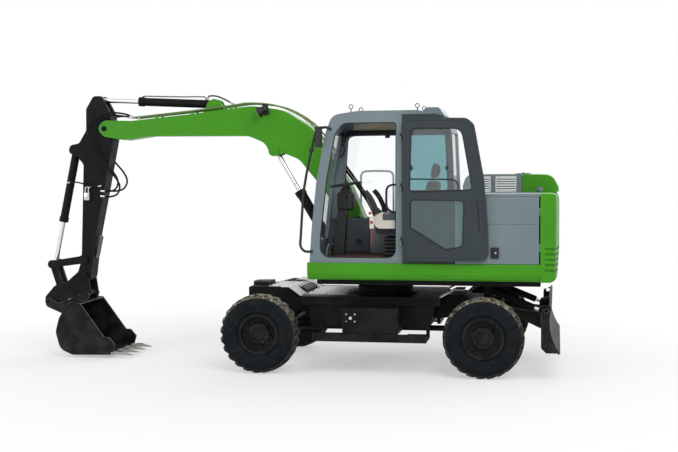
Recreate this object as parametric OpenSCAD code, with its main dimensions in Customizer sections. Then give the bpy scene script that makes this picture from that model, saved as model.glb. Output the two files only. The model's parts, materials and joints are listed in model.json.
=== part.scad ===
/* [Wheels] */
// Outside diameter of a tyre, over the lugs
tyre_d = 850; // [820:1:870]
// Width of a tyre
tyre_w = 235; // [215:1:245]
// Diameter of the rim where the tyre's bead sits
rim_d = 406; // [390:1:420]
// Distance between the axles
wheelbase = 2400; // [2350:1:2450]
// Distance between the tyres' middle planes on one axle
track_w = 1805; // [1795:1:1840]
// Distance of the front axle ahead of the swing axis
front_axle_x = 1243; // [1225:1:1270]
// Distance between the two kingpins
kingpin_w = 1380; // [1350:1:1400]
// Radius of the wheel spindles
spindle_r = 50; // [42:1:58]

/* [Chassis] */
// Width of the middle section of the chassis
frame_w = 1200; // [1120:1:1240]
// Height of the chassis top plate above the ground
frame_top = 800; // [780:1:810]
// Height of the middle section's underside
frame_bottom = 470; // [450:1:500]
// Width of the chassis spine over the axles
spine_w = 560; // [520:1:580]
// Outside radius of the slew ring
ring_r = 310; // [290:1:330]
// Depth of the tool box and the tank box beside the chassis
box_d = 330; // [300:1:350]
// Width of the side steps
step_w = 350; // [320:1:360]

/* [Blade] */
// Overall width of the blade
blade_w = 2100; // [2090:1:2160]
// Thickness of the blade's mouldboard
blade_t = 22; // [16:1:30]
// Radius of the blade's pivot pins
blade_pin_r = 35; // [28:1:40]

/* [Upper structure] */
// Overall width of the upper structure
house_w = 1960; // [1940:1:1980]
// Height of the deck's top face
deck_z = 1015; // [1005:1:1030]
// Height of the green skirts
skirt_h = 185; // [170:1:195]
// Distance from the swing axis to the tail
tail_r = 1930; // [1900:1:1960]
// Height of the engine bay's top
bay_top = 1925; // [1900:1:1940]
// Height of the raised hood above the engine bay's top
hood_h = 195; // [170:1:220]
// Thickness of sheet panels
panel_t = 25; // [15:1:30]

/* [Cab] */
// Width of the cab
cab_w = 810; // [780:1:815]
// Thickness of the cab's walls
cab_wall = 45; // [35:1:55]
// Height of the cab's roof
cab_top = 2798; // [2780:1:2830]
// Thickness of the cab door
door_t = 32; // [26:1:36]
// Thickness of the window panes
glass_t = 6; // [5:1:8]

/* [Working arm] */
// Sideways place of the arm's middle plane
arm_y = -60; // [-70:1:-50]
// Width of the boom
boom_w = 240; // [230:1:250]
// Width of the stick
stick_w = 190; // [180:1:200]
// Distance from the boom's foot pin to its tip pin, along the machine
boom_reach = 3044; // [3020:1:3070]
// Height of the boom's tip pin above its foot pin
boom_rise = 1135; // [1120:1:1150]
// Height of the stick's pivot above its end pin
stick_drop = 1745; // [1730:1:1760]
// Overall width of the bucket
bucket_w = 720; // [650:1:800]
// Thickness of the bucket's shell
bucket_t = 22; // [14:1:28]
// Outside radius of the boom cylinder's barrel
boom_barrel_r = 58; // [52:1:62]
// Outside radius of the stick and bucket cylinders' barrels
arm_barrel_r = 48; // [42:1:52]
// Radius of the cylinders' rods
rod_r = 28; // [22:1:32]

/* [Hidden] */
// Clearance round pins and rods, and between moving faces
pin_gap = 0.3;
side_gap = 5;

// Wheels and axles
tyre_r = tyre_d / 2;
tread_r = tyre_r - 24;
lug_count = 24;
lug_slant = 28;
lug_t = 44;
rim_r = rim_d / 2;
axle_z = tyre_r;
rear_axle_x = front_axle_x - wheelbase;
wheel_y = track_w / 2;
kingpin_y = kingpin_w / 2;
bead_half = tyre_w / 2 - 33;
hub_r = 112;
hub_in = -62;
hub_out = 62;
spindle_end = 30;
axle_tube_r = 72;
diff_r = 145;
shaft_r = 32;
shaft_z = axle_z - 35;
pinion_r = 50;
pinion_x = 180;
knuckle_h = 140;
yoke_t = 30;
kingpin_r = 28;
tie_x = -190;
tie_r = 20;

// Chassis
spine_front = 1534;
spine_rear = -1330;
frame_front = 855;
frame_rear = -674;
spine_front_top = frame_top + 66;
spine_bottom = 600;
flange_h = 89;
ring_bottom = frame_top + 13;
ring_top = deck_z - 59;
frame_half = frame_w / 2;
box_bottom = 441;
box_top = frame_top - flange_h;
spine_half = spine_w / 2;

// Blade and its cylinders
blade_pivot = [-1290, 650];
blade_arm_t = 60;
blade_arm_y = spine_half + side_gap;
blade_arc = [-2380, 625];
blade_arc_r = 545;
blade_half = blade_w / 2;
blade_end_t = 25;
blade_cyl_base = [-1190, 885];
blade_cyl_pin = [-1752, 655];
blade_cyl_y = 405;
blade_ear_t = 20;
blade_barrel_r = 36;
blade_rod_r = 20;
blade_eye_half = 34;
blade_ear_in = blade_barrel_r + side_gap;
blade_barrel_len = 520;

// Upper structure
house_half = house_w / 2;
skirt_top = deck_z + skirt_h;
skirt_front = 700;
bay_front = -868;
seam_x = -tail_r + 190;
rib_z = [1130, 1185, 1240, 1295, 1350];
rib_h = 22;
rib_d = 14;
side_door_front = bay_front - 0.375 * (bay_front - seam_x);
hood_front = bay_front - 10;
crease_z = 1610;
hood_seam = -tail_r + 400;
hood_left = 80;
louvre_x = [[hood_front - 290, hood_front - 212], [hood_front - 570, hood_front - 376]];
side_hinge = [seam_x + 7, house_half - 8];
side_hinge_r = 6;
side_hinge_z = [1330, 1700];
hood_hinge = [hood_seam + 2, bay_top + hood_h + 10];
hood_hinge_y = [-760, -160];
hood_top = bay_top + hood_h;

// Cab
cab_left = house_half - 20;
cab_right = cab_left - cab_w;
cab_rear = -860;
roof_z = cab_top - 100;
door_gap = 3;
door_hinge = [-312, cab_left + 3 + door_t + 8];
door_swap = 2 * door_hinge[0];
door_inner = 2 * door_hinge[1] - (cab_left + door_gap + door_t);
knuckle_r = 12;
hinge_z = [1400, 1960, 2480];

// Arm pins, each in the plane of the arm
boom_foot = [295, 1549];
boom_tip = boom_foot + [boom_reach, boom_rise];
stick_end = boom_tip + [299, -stick_drop];
boom_cyl_base = [600, 1249];
boom_cyl_pin = along_boom([0.3242, 0.7533]);
stick_cyl_base = along_boom([0.5618, 1.2361]);
stick_cyl_pin = boom_tip + [91, 341];
bucket_cyl_base = boom_tip + [397, -0.1364 * stick_drop];
rocker_pin = stick_end + [-4, 193];
rocker_end = stick_end + [396, 135];
link_pin = stick_end + [305, -143];
bucket_pin_a = stick_end + [-47, -205];
bucket_pin_b = stick_end + [431, -308];
boom_half = boom_w / 2;
lamp_at = boom_foot + [0.3535 * boom_reach, 1.168 * boom_rise];
stick_half = stick_w / 2;
ear_t = 30;
eye_half = 40;
base_slot = arm_barrel_r + side_gap;
eye_r = 48;
foot_pin_r = 40;
foot_pin_out = side_gap + ear_t + 8;
arm_pin_r = 32;
eye_pin_r = 25;
fork_in = stick_half + side_gap;
link_in = eye_half + 10;
link_out = stick_half - 3;
rocker_t = 18;
rocker_in = stick_half + side_gap;
rocker_out = rocker_in + rocker_t;
bucket_half = bucket_w / 2;
belly_half = boom_barrel_r + 13;
boom_barrel_len = 0.6017 * norm(boom_cyl_pin - boom_cyl_base);
boom_rod_len = 0.6635 * norm(boom_cyl_pin - boom_cyl_base);
stick_barrel_len = 0.654 * norm(stick_cyl_pin - stick_cyl_base);
stick_rod_len = 0.722 * norm(stick_cyl_pin - stick_cyl_base);
bucket_barrel_len = 0.631 * norm(rocker_end - bucket_cyl_base);
bucket_rod_len = 0.637 * norm(rocker_end - bucket_cyl_base);

// The swing axis stands behind the middle of the whole machine
front_end = stick_end[0] + 498;
swing_x = (tail_r - front_end) / 2;

$fn = 64;

// Outline helpers

function unit(v) = v / norm(v);

// Points of the arc that rounds corner b between a and c, with b[2] as its radius
function corner(a, b, c, n) =
  let (p = [b[0], b[1]])
  let (u = unit([a[0], a[1]] - p), v = unit([c[0], c[1]] - p))
  let (half = acos(max(-1, min(1, u * v))) / 2)
  let (room = 0.49 * min(norm([a[0], a[1]] - p), norm([c[0], c[1]] - p)))
  let (cut = min(b[2] / tan(half), room), r = cut * tan(half))
  let (o = p + unit(u + v) * r / sin(half))
  let (s = p + u * cut - o, e = p + v * cut - o)
  let (a0 = atan2(s[1], s[0]), turn = atan2(e[1], e[0]) - a0)
  let (sweep = turn > 180 ? turn - 360 : turn < -180 ? turn + 360 : turn)
  [for (k = [0:n]) o + r * [cos(a0 + sweep * k / n), sin(a0 + sweep * k / n)]];

// Outline with its corners rounded: each corner is [x, y] or [x, y, radius]
function rounded(p, n = 5) = [
  for (i = [0:len(p) - 1])
    each len(p[i]) < 3 || p[i][2] <= 0
      ? [[p[i][0], p[i][1]]]
      : corner(p[(i + len(p) - 1) % len(p)], p[i], p[(i + 1) % len(p)], n)
];

// Outline moved by a vector, radii kept
function moved(p, d) = [for (q = p) len(q) < 3 ? q + d : [q[0] + d[0], q[1] + d[1], q[2]]];

// Place on the boom, from shares of its reach and its rise
function along_boom(q) = boom_foot + [q[0] * boom_reach, q[1] * boom_rise];

// Outline drawn on a boom of the photo's size, fitted to this boom
function boom_fit(p) = [
  for (q = p)
    let (at = along_boom([q[0] / 3044, q[1] / 1135]))
    len(q) < 3 ? at : [at[0], at[1], q[2]]
];

// Points on an arc about c
function arc(c, r, a0, a1, n = 10) = [
  for (k = [0:n])
    let (a = a0 + (a1 - a0) * k / n)
    c + r * [cos(a), sin(a)]
];

// Side-view outline (x, z) made a plate from y0 to y1
module plate_y(points, y0, y1) {
  translate([0, y1, 0])
    rotate([90, 0, 0])
      linear_extrude(y1 - y0)
        polygon(points);
}

// Front-view outline (y, z) made a bar from x0 to x1
module bar_x(points, x0, x1) {
  translate([x0, 0, 0])
    rotate([90, 0, 90])
      linear_extrude(x1 - x0)
        polygon(points);
}

// Plan outline (x, y) made a slab from z0 to z1
module slab_z(points, z0, z1) {
  translate([0, 0, z0])
    linear_extrude(z1 - z0)
      polygon(points);
}

// Block between two corners
module block(a, b) {
  translate(a)
    cube(b - a);
}

// Round bar across the machine at p = [x, z]
module pin_y(p, r, y0, y1) {
  translate([p[0], y0, p[1]])
    rotate([-90, 0, 0])
      cylinder(h = y1 - y0, r = r);
}

// Round bar from a to b, each [x, z], in the plane y
module bar_between(a, b, r, y) {
  translate([a[0], y, a[1]])
    rotate([0, atan2(b[0] - a[0], b[1] - a[1]), 0])
      cylinder(h = norm(b - a), r = r);
}

// Both sides of the machine
module both_sides() {
  children();
  mirror([0, 1, 0])
    children();
}

// Tube swept along a smooth route through 3-D points
function route_point(p, i, t) =
  let (n = len(p) - 1)
  let (a = p[max(i - 1, 0)], b = p[i], c = p[min(i + 1, n)], d = p[min(i + 2, n)])
  0.5 * (2 * b + (c - a) * t + (2 * a - 5 * b + 4 * c - d) * t * t + (3 * b - a - 3 * c + d) * t * t * t);
function route(p, steps) = concat(
  [for (i = [0:len(p) - 2]) for (k = [0:steps - 1]) route_point(p, i, k / steps)],
  [p[len(p) - 1]]
);
module tube(points, r, steps = 3, sides = 8, up = [0, 1, 0]) {
  path = route(points, steps);
  n = len(path);
  rings = [
    for (i = [0:n - 1])
      let (d = unit(path[min(i + 1, n - 1)] - path[max(i - 1, 0)]))
      let (s = unit(cross(d, up)), w = cross(s, d))
      for (k = [0:sides - 1])
        path[i] + r * (cos(360 * k / sides) * s + sin(360 * k / sides) * w)
  ];
  walls = [
    for (i = [0:n - 2])
      for (k = [0:sides - 1])
        let (j = (k + 1) % sides)
        [i * sides + k, i * sides + j, (i + 1) * sides + j, (i + 1) * sides + k]
  ];
  first = [for (k = [sides - 1:-1:0]) k];
  last = [for (k = [0:sides - 1]) (n - 1) * sides + k];
  polyhedron(rings, concat([first, last], walls), convexity = 4);
}

// Cylinder barrel with its base eye at a, pointing to b
module barrel(a, b, r, y, length, half) {
  difference() {
    union() {
      pin_y(a, eye_r, y - half, y + half);
      bar_between(a + unit(b - a) * (eye_r - 12), a + unit(b - a) * length, r, y);
      bar_between(a + unit(b - a) * (length - 60), a + unit(b - a) * length, r + 7, y);
    }
    pin_y(a, eye_pin_r + pin_gap, y - half - 1, y + half + 1);
    bar_between(a + unit(b - a) * (eye_r + 20), a + unit(b - a) * (length + 1), rod_r + pin_gap, y);
  }
}

// Cylinder rod that ends in an eye at b, of the given length back towards a
module rod(a, b, y, length, half, stub) {
  bar_between(b + unit(a - b) * length, b + unit(a - b) * (eye_r - 10), rod_r, y);
  pin_y(b, eye_r, y - half, y + half);
  pin_y(b, eye_pin_r, y - stub, y + stub);
}

// Undercarriage

module chassis_frame() {
  side = rounded([
    [740, frame_bottom, 30], [790, box_top, 0], [frame_front, box_top, 0], [frame_front, frame_top, 0],
    [frame_rear, frame_top, 0], [frame_rear, box_top, 0], [-610, box_top, 0], [-560, frame_bottom, 30]
  ]);
  color("#2a2b2a") {
    plate_y(side, -frame_half + 40, frame_half - 40);
    block([frame_rear, -frame_half, box_top], [frame_front, frame_half, frame_top - 1]);
    translate([0, 0, frame_top - 20])
      cylinder(h = ring_bottom - frame_top + 20, r = ring_r + 60);
  }
}

// Narrow beams that reach over both axles, ahead of and behind the middle section
module chassis_spine() {
  front = rounded([
    [spine_front, spine_front_top, 20], [900, spine_front_top, 60], [frame_front, frame_top + 30, 0],
    [frame_front, spine_bottom - 40, 0], [900, spine_bottom, 80], [spine_front, spine_bottom, 40]
  ]);
  web = rounded([
    [frame_front, box_top, 0], [790, box_top, 0], [755, frame_bottom + 60, 0],
    [frame_front, frame_bottom + 60, 0]
  ]);
  rear = rounded([
    [frame_rear, frame_top, 0], [-900, frame_top, 60], [-980, frame_top - 40, 60],
    [spine_rear, frame_top - 40, 30], [spine_rear, spine_bottom, 40], [-960, spine_bottom, 80],
    [frame_rear, spine_bottom - 60, 0]
  ]);
  rear_web = rounded([
    [frame_rear, box_top, 0], [-610, box_top, 0], [-575, frame_bottom + 70, 0],
    [frame_rear, frame_bottom + 70, 0]
  ]);
  color("#2a2b2a")
    difference() {
      union() {
        for (outline = [front, web, rear, rear_web])
          plate_y(outline, -spine_half, spine_half);
        front_hitch();
      }
      both_sides()
        pin_y(blade_pivot, blade_pin_r + pin_gap, spine_half - 50, spine_half + 1);
      translate([spine_front - 60, 0, spine_bottom - 1])
        cylinder(h = spine_front_top - spine_bottom + 100, r = 25);
    }
}

// Cross beam on the rear spine with the ears of the blade's cylinders
module blade_mount() {
  seat = frame_top - 40 + pin_gap;
  ear_y = blade_cyl_y + blade_ear_in;
  inner_y = blade_cyl_y - blade_ear_in;
  color("#2a2b2a")
    both_sides() {
      block([-1225, 0, seat], [-1120, inner_y, seat + 40]);
      block([-1165, inner_y - 1, seat], [-1120, ear_y + blade_ear_t, seat + 40]);
      blade_ear(inner_y - blade_ear_t, seat + 1);
      blade_ear(ear_y, seat + 1);
      pin_y(blade_cyl_base, 18, inner_y - 10, ear_y + 10);
    }
}

// Upright plate that carries one side of a blade cylinder's base pin
module blade_ear(y0, z0) {
  top = blade_cyl_base[1];
  plate_y(rounded([
    [-1122, z0, 0], [-1145, top + 20, 30], [-1190, top + 48, 30], [-1235, top + 18, 40], [-1223, z0, 0]
  ]), y0, y0 + blade_ear_t);
}

// Two plates with a tow pin bore at the front end
module front_hitch() {
  slab_z(rounded([
    [spine_front - 200, -160, 0], [spine_front, -110, 60], [spine_front, 110, 60],
    [spine_front - 200, 160, 0]
  ]), spine_front_top - 5, spine_front_top + 40);
}

module front_axle() {
  color("#2a2b2a")
    difference() {
      union() {
        pin_y([front_axle_x, axle_z], axle_tube_r, -kingpin_y + 85, kingpin_y - 85);
        translate([front_axle_x, 0, axle_z])
          sphere(r = diff_r);
        bar_between([front_axle_x - pinion_x, shaft_z], [front_axle_x - 60, shaft_z], pinion_r, 0);
        plate_y(rounded([
          [front_axle_x - 110, spine_bottom, 0], [front_axle_x - 80, axle_z, 0],
          [front_axle_x + 80, axle_z, 0], [front_axle_x + 110, spine_bottom, 0]
        ]), -90, 90);
        both_sides()
          for (s = [-1, 1])
            axle_yoke(s);
      }
      both_sides()
        translate([front_axle_x, kingpin_y, axle_z - 200])
          cylinder(h = 400, r = kingpin_r + pin_gap);
    }
}

// Upper or lower ear that holds one kingpin
module axle_yoke(s) {
  inner = knuckle_h / 2 + side_gap;
  z0 = s > 0 ? axle_z + inner : axle_z - inner - yoke_t;
  translate([front_axle_x, kingpin_y, z0])
    cylinder(h = yoke_t, r = 55);
  block([front_axle_x - 55, kingpin_y - 120, z0], [front_axle_x + 55, kingpin_y, z0 + yoke_t]);
  block(
    [front_axle_x - 55, kingpin_y - 120, axle_z - inner - yoke_t],
    [front_axle_x + 55, kingpin_y - 85, axle_z + inner + yoke_t]
  );
}

module rear_axle() {
  pad_y = spine_half - 60;
  color("#2a2b2a") {
    pin_y([rear_axle_x, axle_z], axle_tube_r, -wheel_y + 130, wheel_y - 130);
    translate([rear_axle_x, 0, axle_z])
      sphere(r = diff_r);
    bar_between([rear_axle_x + 60, shaft_z], [rear_axle_x + pinion_x, shaft_z], pinion_r, 0);
    both_sides() {
      block([rear_axle_x - 90, pad_y - 60, axle_z], [rear_axle_x + 90, pad_y + 60, spine_bottom]);
      pin_y([rear_axle_x, axle_z], 105, wheel_y - 170, wheel_y + hub_in - 6);
      pin_y([rear_axle_x, axle_z], spindle_r, wheel_y + hub_in - 7, wheel_y + spindle_end);
    }
  }
}

module driveline() {
  box_z = axle_z + 30;
  color("#303133") {
    block([-160, -130, box_z - 120], [200, 130, frame_bottom - pin_gap]);
    bar_between([199, shaft_z], [front_axle_x - pinion_x, shaft_z], shaft_r, 0);
    bar_between([-159, shaft_z], [rear_axle_x + pinion_x, shaft_z], shaft_r, 0);
    pin_y([60, box_z - 60], 70, -180, 180);
  }
}

module slew_ring() {
  color("#202120")
    difference() {
      union() {
        translate([0, 0, ring_bottom])
          cylinder(h = ring_top - ring_bottom - pin_gap, r = ring_r - 25);
        translate([0, 0, ring_bottom])
          cylinder(h = 60, r = ring_r);
        translate([0, 0, ring_top - 50 - pin_gap])
          cylinder(h = 50, r = ring_r);
      }
      translate([0, 0, ring_bottom - 1])
        cylinder(h = ring_top - ring_bottom + 2, r = ring_r - 90);
    }
}

module side_steps() {
  outer = frame_half + step_w;
  color("#2e2f2f")
    both_sides() {
      block([-562, outer - 60, 359], [659, outer, 440]);
      for (x = [-560, 620])
        block([x, frame_half - 40, 359], [x + 36, outer - 60, 395]);
      for (x = [-560, 620])
        plate_y(rounded([
          [x, 359, 0], [x, frame_bottom + 40, 0], [x + 36, frame_bottom + 40, 0], [x + 36, 359, 0]
        ]), frame_half - 40, frame_half - 10);
      for (x = [390, 470, 550, -350, -430, -510])
        block([x, frame_half - 35, 380], [x + 24, outer - 60, 400]);
      block([380, frame_half - 36, 380], [621, frame_half - 10, 400]);
      block([-525, frame_half - 36, 380], [-320, frame_half - 10, 400]);
    }
}

module tool_boxes() {
  outer = frame_half + box_d;
  color("#333536") {
    difference() {
      block([-257, frame_half - 40, box_bottom], [337, outer - 20, box_top]);
      block([-237, frame_half - 20, box_bottom + 20], [317, outer, box_top - 20]);
    }
    mirror([0, 1, 0])
      slab_z(rounded([
        [-300, frame_half - 40, 0], [337, frame_half - 40, 0], [337, outer, 40], [-300, outer, 40]
      ]), box_bottom, box_top);
    for (z = [500, 640]) {
      translate([-257, outer - 2, z])
        cylinder(h = 40, r = 9);
      translate([-257, outer - 2, z])
        cylinder(h = 70, r = 3);
      block([-266, outer - 30, z], [-248, outer - 2, z + 40]);
    }
  }
}

module tool_box_door() {
  outer = frame_half + box_d;
  color("#3a3c3d") {
    block([-244, outer - 20 + pin_gap, box_bottom + 4], [335, outer - 2, box_top - 4]);
    for (z = [540 + pin_gap, 680 + pin_gap])
      difference() {
        union() {
          translate([-257, outer - 2, z])
            cylinder(h = 24, r = 9);
          block([-257, outer - 11, z], [-240, outer - 2, z + 24]);
        }
        translate([-257, outer - 2, z - 1])
          cylinder(h = 26, r = 3 + pin_gap);
      }
    block([265, outer - 3, 560], [300, outer + 6, 640]);
  }
}

module fender_plates() {
  front = rounded([
    [860, frame_top + 10, 0], [872, frame_top + 2, 0], [1000, frame_top + 92, 30],
    [1090, frame_top + 92, 0], [1090, frame_top + 100, 0], [996, frame_top + 100, 30]
  ]);
  rear = rounded([
    [-680, frame_top + 10, 0], [-692, frame_top + 2, 0], [-830, frame_top + 82, 30],
    [-930, frame_top + 82, 0], [-930, frame_top + 90, 0], [-826, frame_top + 90, 30]
  ]);
  color("#9da3a5")
    both_sides() {
      plate_y(front, spine_half, frame_half - 30);
      plate_y(rear, spine_half, frame_half - 30);
      block([846, spine_half, frame_top + pin_gap], [872, frame_half - 30, frame_top + 8]);
      block([-692, spine_half, frame_top + pin_gap], [-664, frame_half - 30, frame_top + 8]);
    }
}

module knuckle(side) {
  color("#2a2b2a")
    mirror([0, side < 0 ? 1 : 0, 0]) {
      translate([front_axle_x, kingpin_y, axle_z - knuckle_h / 2])
        cylinder(h = knuckle_h, r = 58);
      translate([front_axle_x, kingpin_y, axle_z - knuckle_h / 2 - yoke_t - side_gap])
        cylinder(h = knuckle_h + 2 * (yoke_t + side_gap), r = kingpin_r);
      pin_y([front_axle_x, axle_z], 60, kingpin_y, wheel_y + hub_in - 12);
      pin_y([front_axle_x, axle_z], 100, wheel_y + hub_in - 26, wheel_y + hub_in - 6);
      pin_y([front_axle_x, axle_z], spindle_r, kingpin_y, wheel_y + spindle_end);
      difference() {
        block(
          [front_axle_x + tie_x - 28, kingpin_y - 26, axle_z - 12],
          [front_axle_x - 30, kingpin_y + 26, axle_z + 12]
        );
        translate([front_axle_x + tie_x, kingpin_y, axle_z - 40])
          cylinder(h = 80, r = 14 + pin_gap);
      }
    }
}

module knuckle_left() {
  knuckle(1);
}

module knuckle_right() {
  knuckle(-1);
}

module tie_rod() {
  z = axle_z + 12 + 22 + tie_r;
  color("#303133") {
    pin_y([front_axle_x + tie_x, z], tie_r, -kingpin_y, kingpin_y);
    both_sides() {
      translate([front_axle_x + tie_x, kingpin_y, axle_z - 30])
        cylinder(h = z + 26 - axle_z + 30, r = 14);
      translate([front_axle_x + tie_x, kingpin_y, axle_z + 14])
        cylinder(h = z + 26 - axle_z - 14, r = 26);
    }
  }
}

// Wheel parts turn about an axis across the machine, with their outer side towards +y

module wheel_place(x, side) {
  translate([x, side * wheel_y, axle_z])
    rotate([side > 0 ? -90 : 90, 0, 0])
      children();
}

module rim(x, side) {
  wall = 12;
  profile = [
    [0, spindle_end + 2], [0, hub_out + 14], [60, hub_out + 14], [72, hub_out], [hub_r, hub_out - 10],
    [hub_r, 12], [rim_r - wall, 24], [rim_r - wall, bead_half + 12], [rim_r + 16, bead_half + 12],
    [rim_r + 16, bead_half], [rim_r, bead_half], [rim_r, -bead_half], [rim_r + 16, -bead_half],
    [rim_r + 16, -bead_half - 12], [rim_r - wall, -bead_half - 12], [rim_r - wall, 6],
    [hub_r, -8], [hub_r, hub_in], [spindle_r + pin_gap, hub_in], [spindle_r + pin_gap, spindle_end + 2]
  ];
  color("#26282a")
    wheel_place(x, side)
      rotate_extrude()
        polygon(profile);
}

module tyre(x, side) {
  half = tyre_w / 2;
  profile = rounded([
    [rim_r, -bead_half], [rim_r + 22, -bead_half], [rim_r + 45, -half + 8, 12],
    [rim_r + 115, -half + 2, 40], [tread_r - 50, -half + 2, 30], [tread_r - 8, -half + 18, 14], [tread_r, -half + 44, 20],
    [tread_r, half - 44, 20], [tread_r - 8, half - 18, 14], [tread_r - 50, half - 2, 30],
    [rim_r + 115, half - 2, 40], [rim_r + 45, half - 8, 12], [rim_r + 22, bead_half], [rim_r, bead_half]
  ], 3);
  color("#1d2024")
    wheel_place(x, side) {
      rotate_extrude()
        polygon(profile);
      for (i = [0 : lug_count - 1]) {
        rotate([0, 0, i * 360 / lug_count])
          lug();
        rotate([0, 0, (i + 0.5) * 360 / lug_count])
          mirror([0, 0, 1])
            lug();
      }
    }
}

// One slanted bar of the tread, from the middle of the tyre over its shoulder
module lug() {
  reach = tyre_w / 2 / cos(lug_slant);
  rotate([lug_slant, 0, 0])
    plate_y([
      [tread_r - 14, -12], [tyre_r, -12], [tyre_r - 3.5, 0.45 * reach], [tyre_r - 7, 0.72 * reach],
      [tyre_r - 30, 0.86 * reach], [tyre_r - 72, 0.885 * reach], [tyre_r - 80, 0.7 * reach],
      [tread_r - 14, 0.5 * reach]
    ], -lug_t / 2, lug_t / 2);
}

module rim_fl() rim(front_axle_x, 1);
module rim_fr() rim(front_axle_x, -1);
module rim_rl() rim(rear_axle_x, 1);
module rim_rr() rim(rear_axle_x, -1);
module tyre_fl() tyre(front_axle_x, 1);
module tyre_fr() tyre(front_axle_x, -1);
module tyre_rl() tyre(rear_axle_x, 1);
module tyre_rr() tyre(rear_axle_x, -1);

module blade() {
  face = arc(blade_arc, blade_arc_r, -36.6, 16.5);
  back = arc(blade_arc, blade_arc_r + blade_t, 16.5, -36.6);
  end_plate = concat(
    arc(blade_arc, blade_arc_r, -36.6, 16.5),
    rounded([[-1760, 782, 20], [-1748, 700, 0], [-1748, 350, 30], [-1800, 300, 0]])
  );
  arm = rounded([
    [-1240, 690, 50], [-1240, 610, 50], [-1330, 590, 40], [-1578, 530, 60], [-1740, 455, 0],
    [-1822, 455, 0], [-1822, 660, 0], [-1740, 630, 0], [-1480, 664, 80], [-1330, 710, 40]
  ]);
  color("#2a2b2a")
    difference() {
      union() {
        plate_y(concat(face, back), -blade_half, blade_half);
        both_sides() {
          plate_y(end_plate, blade_half - blade_end_t, blade_half);
          plate_y(arm, blade_arm_y, blade_arm_y + blade_arm_t);
          pin_y(blade_pivot, blade_pin_r, spine_half - 48, blade_arm_y + blade_arm_t);
          rod_ear(blade_cyl_y - blade_eye_half - 6 - 18);
          rod_ear(blade_cyl_y + blade_eye_half + 6);
        }
      }
      both_sides()
        pin_y([-1802, 733], 22, blade_half - blade_end_t - 1, blade_half + 1);
    }
}

// Plate on the back of the blade beside a cylinder rod's eye
module rod_ear(y0) {
  plate_y(rounded([
    [-1712, 700, 40], [-1712, 600, 40], [-1820, 540, 0], [-1825, 715, 0]
  ]), y0, y0 + 18);
}

module blade_barrels() {
  u = unit(blade_cyl_pin - blade_cyl_base);
  mouth = blade_cyl_base + u * blade_barrel_len;
  color("#33363a")
    both_sides()
      difference() {
        union() {
          pin_y(blade_cyl_base, 38, blade_cyl_y - blade_eye_half, blade_cyl_y + blade_eye_half);
          bar_between(blade_cyl_base + u * 28, mouth, blade_barrel_r, blade_cyl_y);
        }
        pin_y(blade_cyl_base, 18 + pin_gap, blade_cyl_y - 80, blade_cyl_y + 80);
        bar_between(blade_cyl_base + u * 60, mouth + u, blade_rod_r + pin_gap, blade_cyl_y);
      }
}

module blade_rods() {
  u = unit(blade_cyl_base - blade_cyl_pin);
  color("#c9ced1")
    both_sides() {
      bar_between(blade_cyl_pin + u * 410, blade_cyl_pin + u * 26, blade_rod_r, blade_cyl_y);
      pin_y(blade_cyl_pin, 34, blade_cyl_y - blade_eye_half, blade_cyl_y + blade_eye_half);
      pin_y(blade_cyl_pin, 18, blade_cyl_y - blade_eye_half - 4, blade_cyl_y + blade_eye_half + 4);
    }
}

// Upper structure

module upper_frame() {
  ear_in = boom_half + side_gap;
  ear_out = arm_y - ear_in - ear_t;
  boom_ear = rounded([
    [80, deck_z - 1, 0], [190, 1620, 90], [290, 1665, 60], [410, 1600, 90], [560, 1330, 60],
    [690, 1290, 60], [700, 1180, 60], [660, deck_z - 1, 0]
  ]);
  color("#242625")
    difference() {
      union() {
        slab_z(rounded([
          [seam_x, -house_half + 165, 0], [skirt_front - 60, -house_half + 165, 60],
          [skirt_front - 60, house_half - 165, 60], [seam_x, house_half - 165, 0]
        ]), ring_top, deck_z);
        translate([0, arm_y, 0]) {
          plate_y(boom_ear, ear_in, ear_in + ear_t);
          plate_y(boom_ear, -ear_in - ear_t, -ear_in);
        }
        block([-820, cab_right, deck_z - 1], [skirt_front - 40, cab_right + 60, skirt_top]);
        block([-820, ear_out - 75, deck_z - 1], [skirt_front - 40, ear_out - 15, skirt_top]);
        cylinder_ears();
      }
      translate([0, arm_y, 0])
        pin_y(boom_foot, foot_pin_r + pin_gap, -ear_in - ear_t - 1, ear_in + ear_t + 1);
    }
}

// Two inner plates and the pin that carry the boom cylinder's base eye
module cylinder_ears() {
  inner = boom_barrel_r + side_gap;
  outline = rounded([
    [430, deck_z - 1, 0], [530, 1290, 60], [600, 1325, 60], [672, 1270, 60], [680, deck_z - 1, 0]
  ]);
  translate([0, arm_y, 0]) {
    plate_y(outline, inner, inner + ear_t);
    plate_y(outline, -inner - ear_t, -inner);
    pin_y(boom_cyl_base, eye_pin_r, -inner - ear_t, inner + ear_t);
  }
}

module skirts() {
  profile = rounded([
    [house_half - 180, deck_z, 0], [house_half - 30, deck_z, 60], [house_half, deck_z + 70, 50],
    [house_half, skirt_top, 12], [house_half - 180, skirt_top, 0]
  ]);
  color("#4fa52e")
    both_sides()
      bar_x(profile, seam_x, skirt_front);
}

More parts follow.
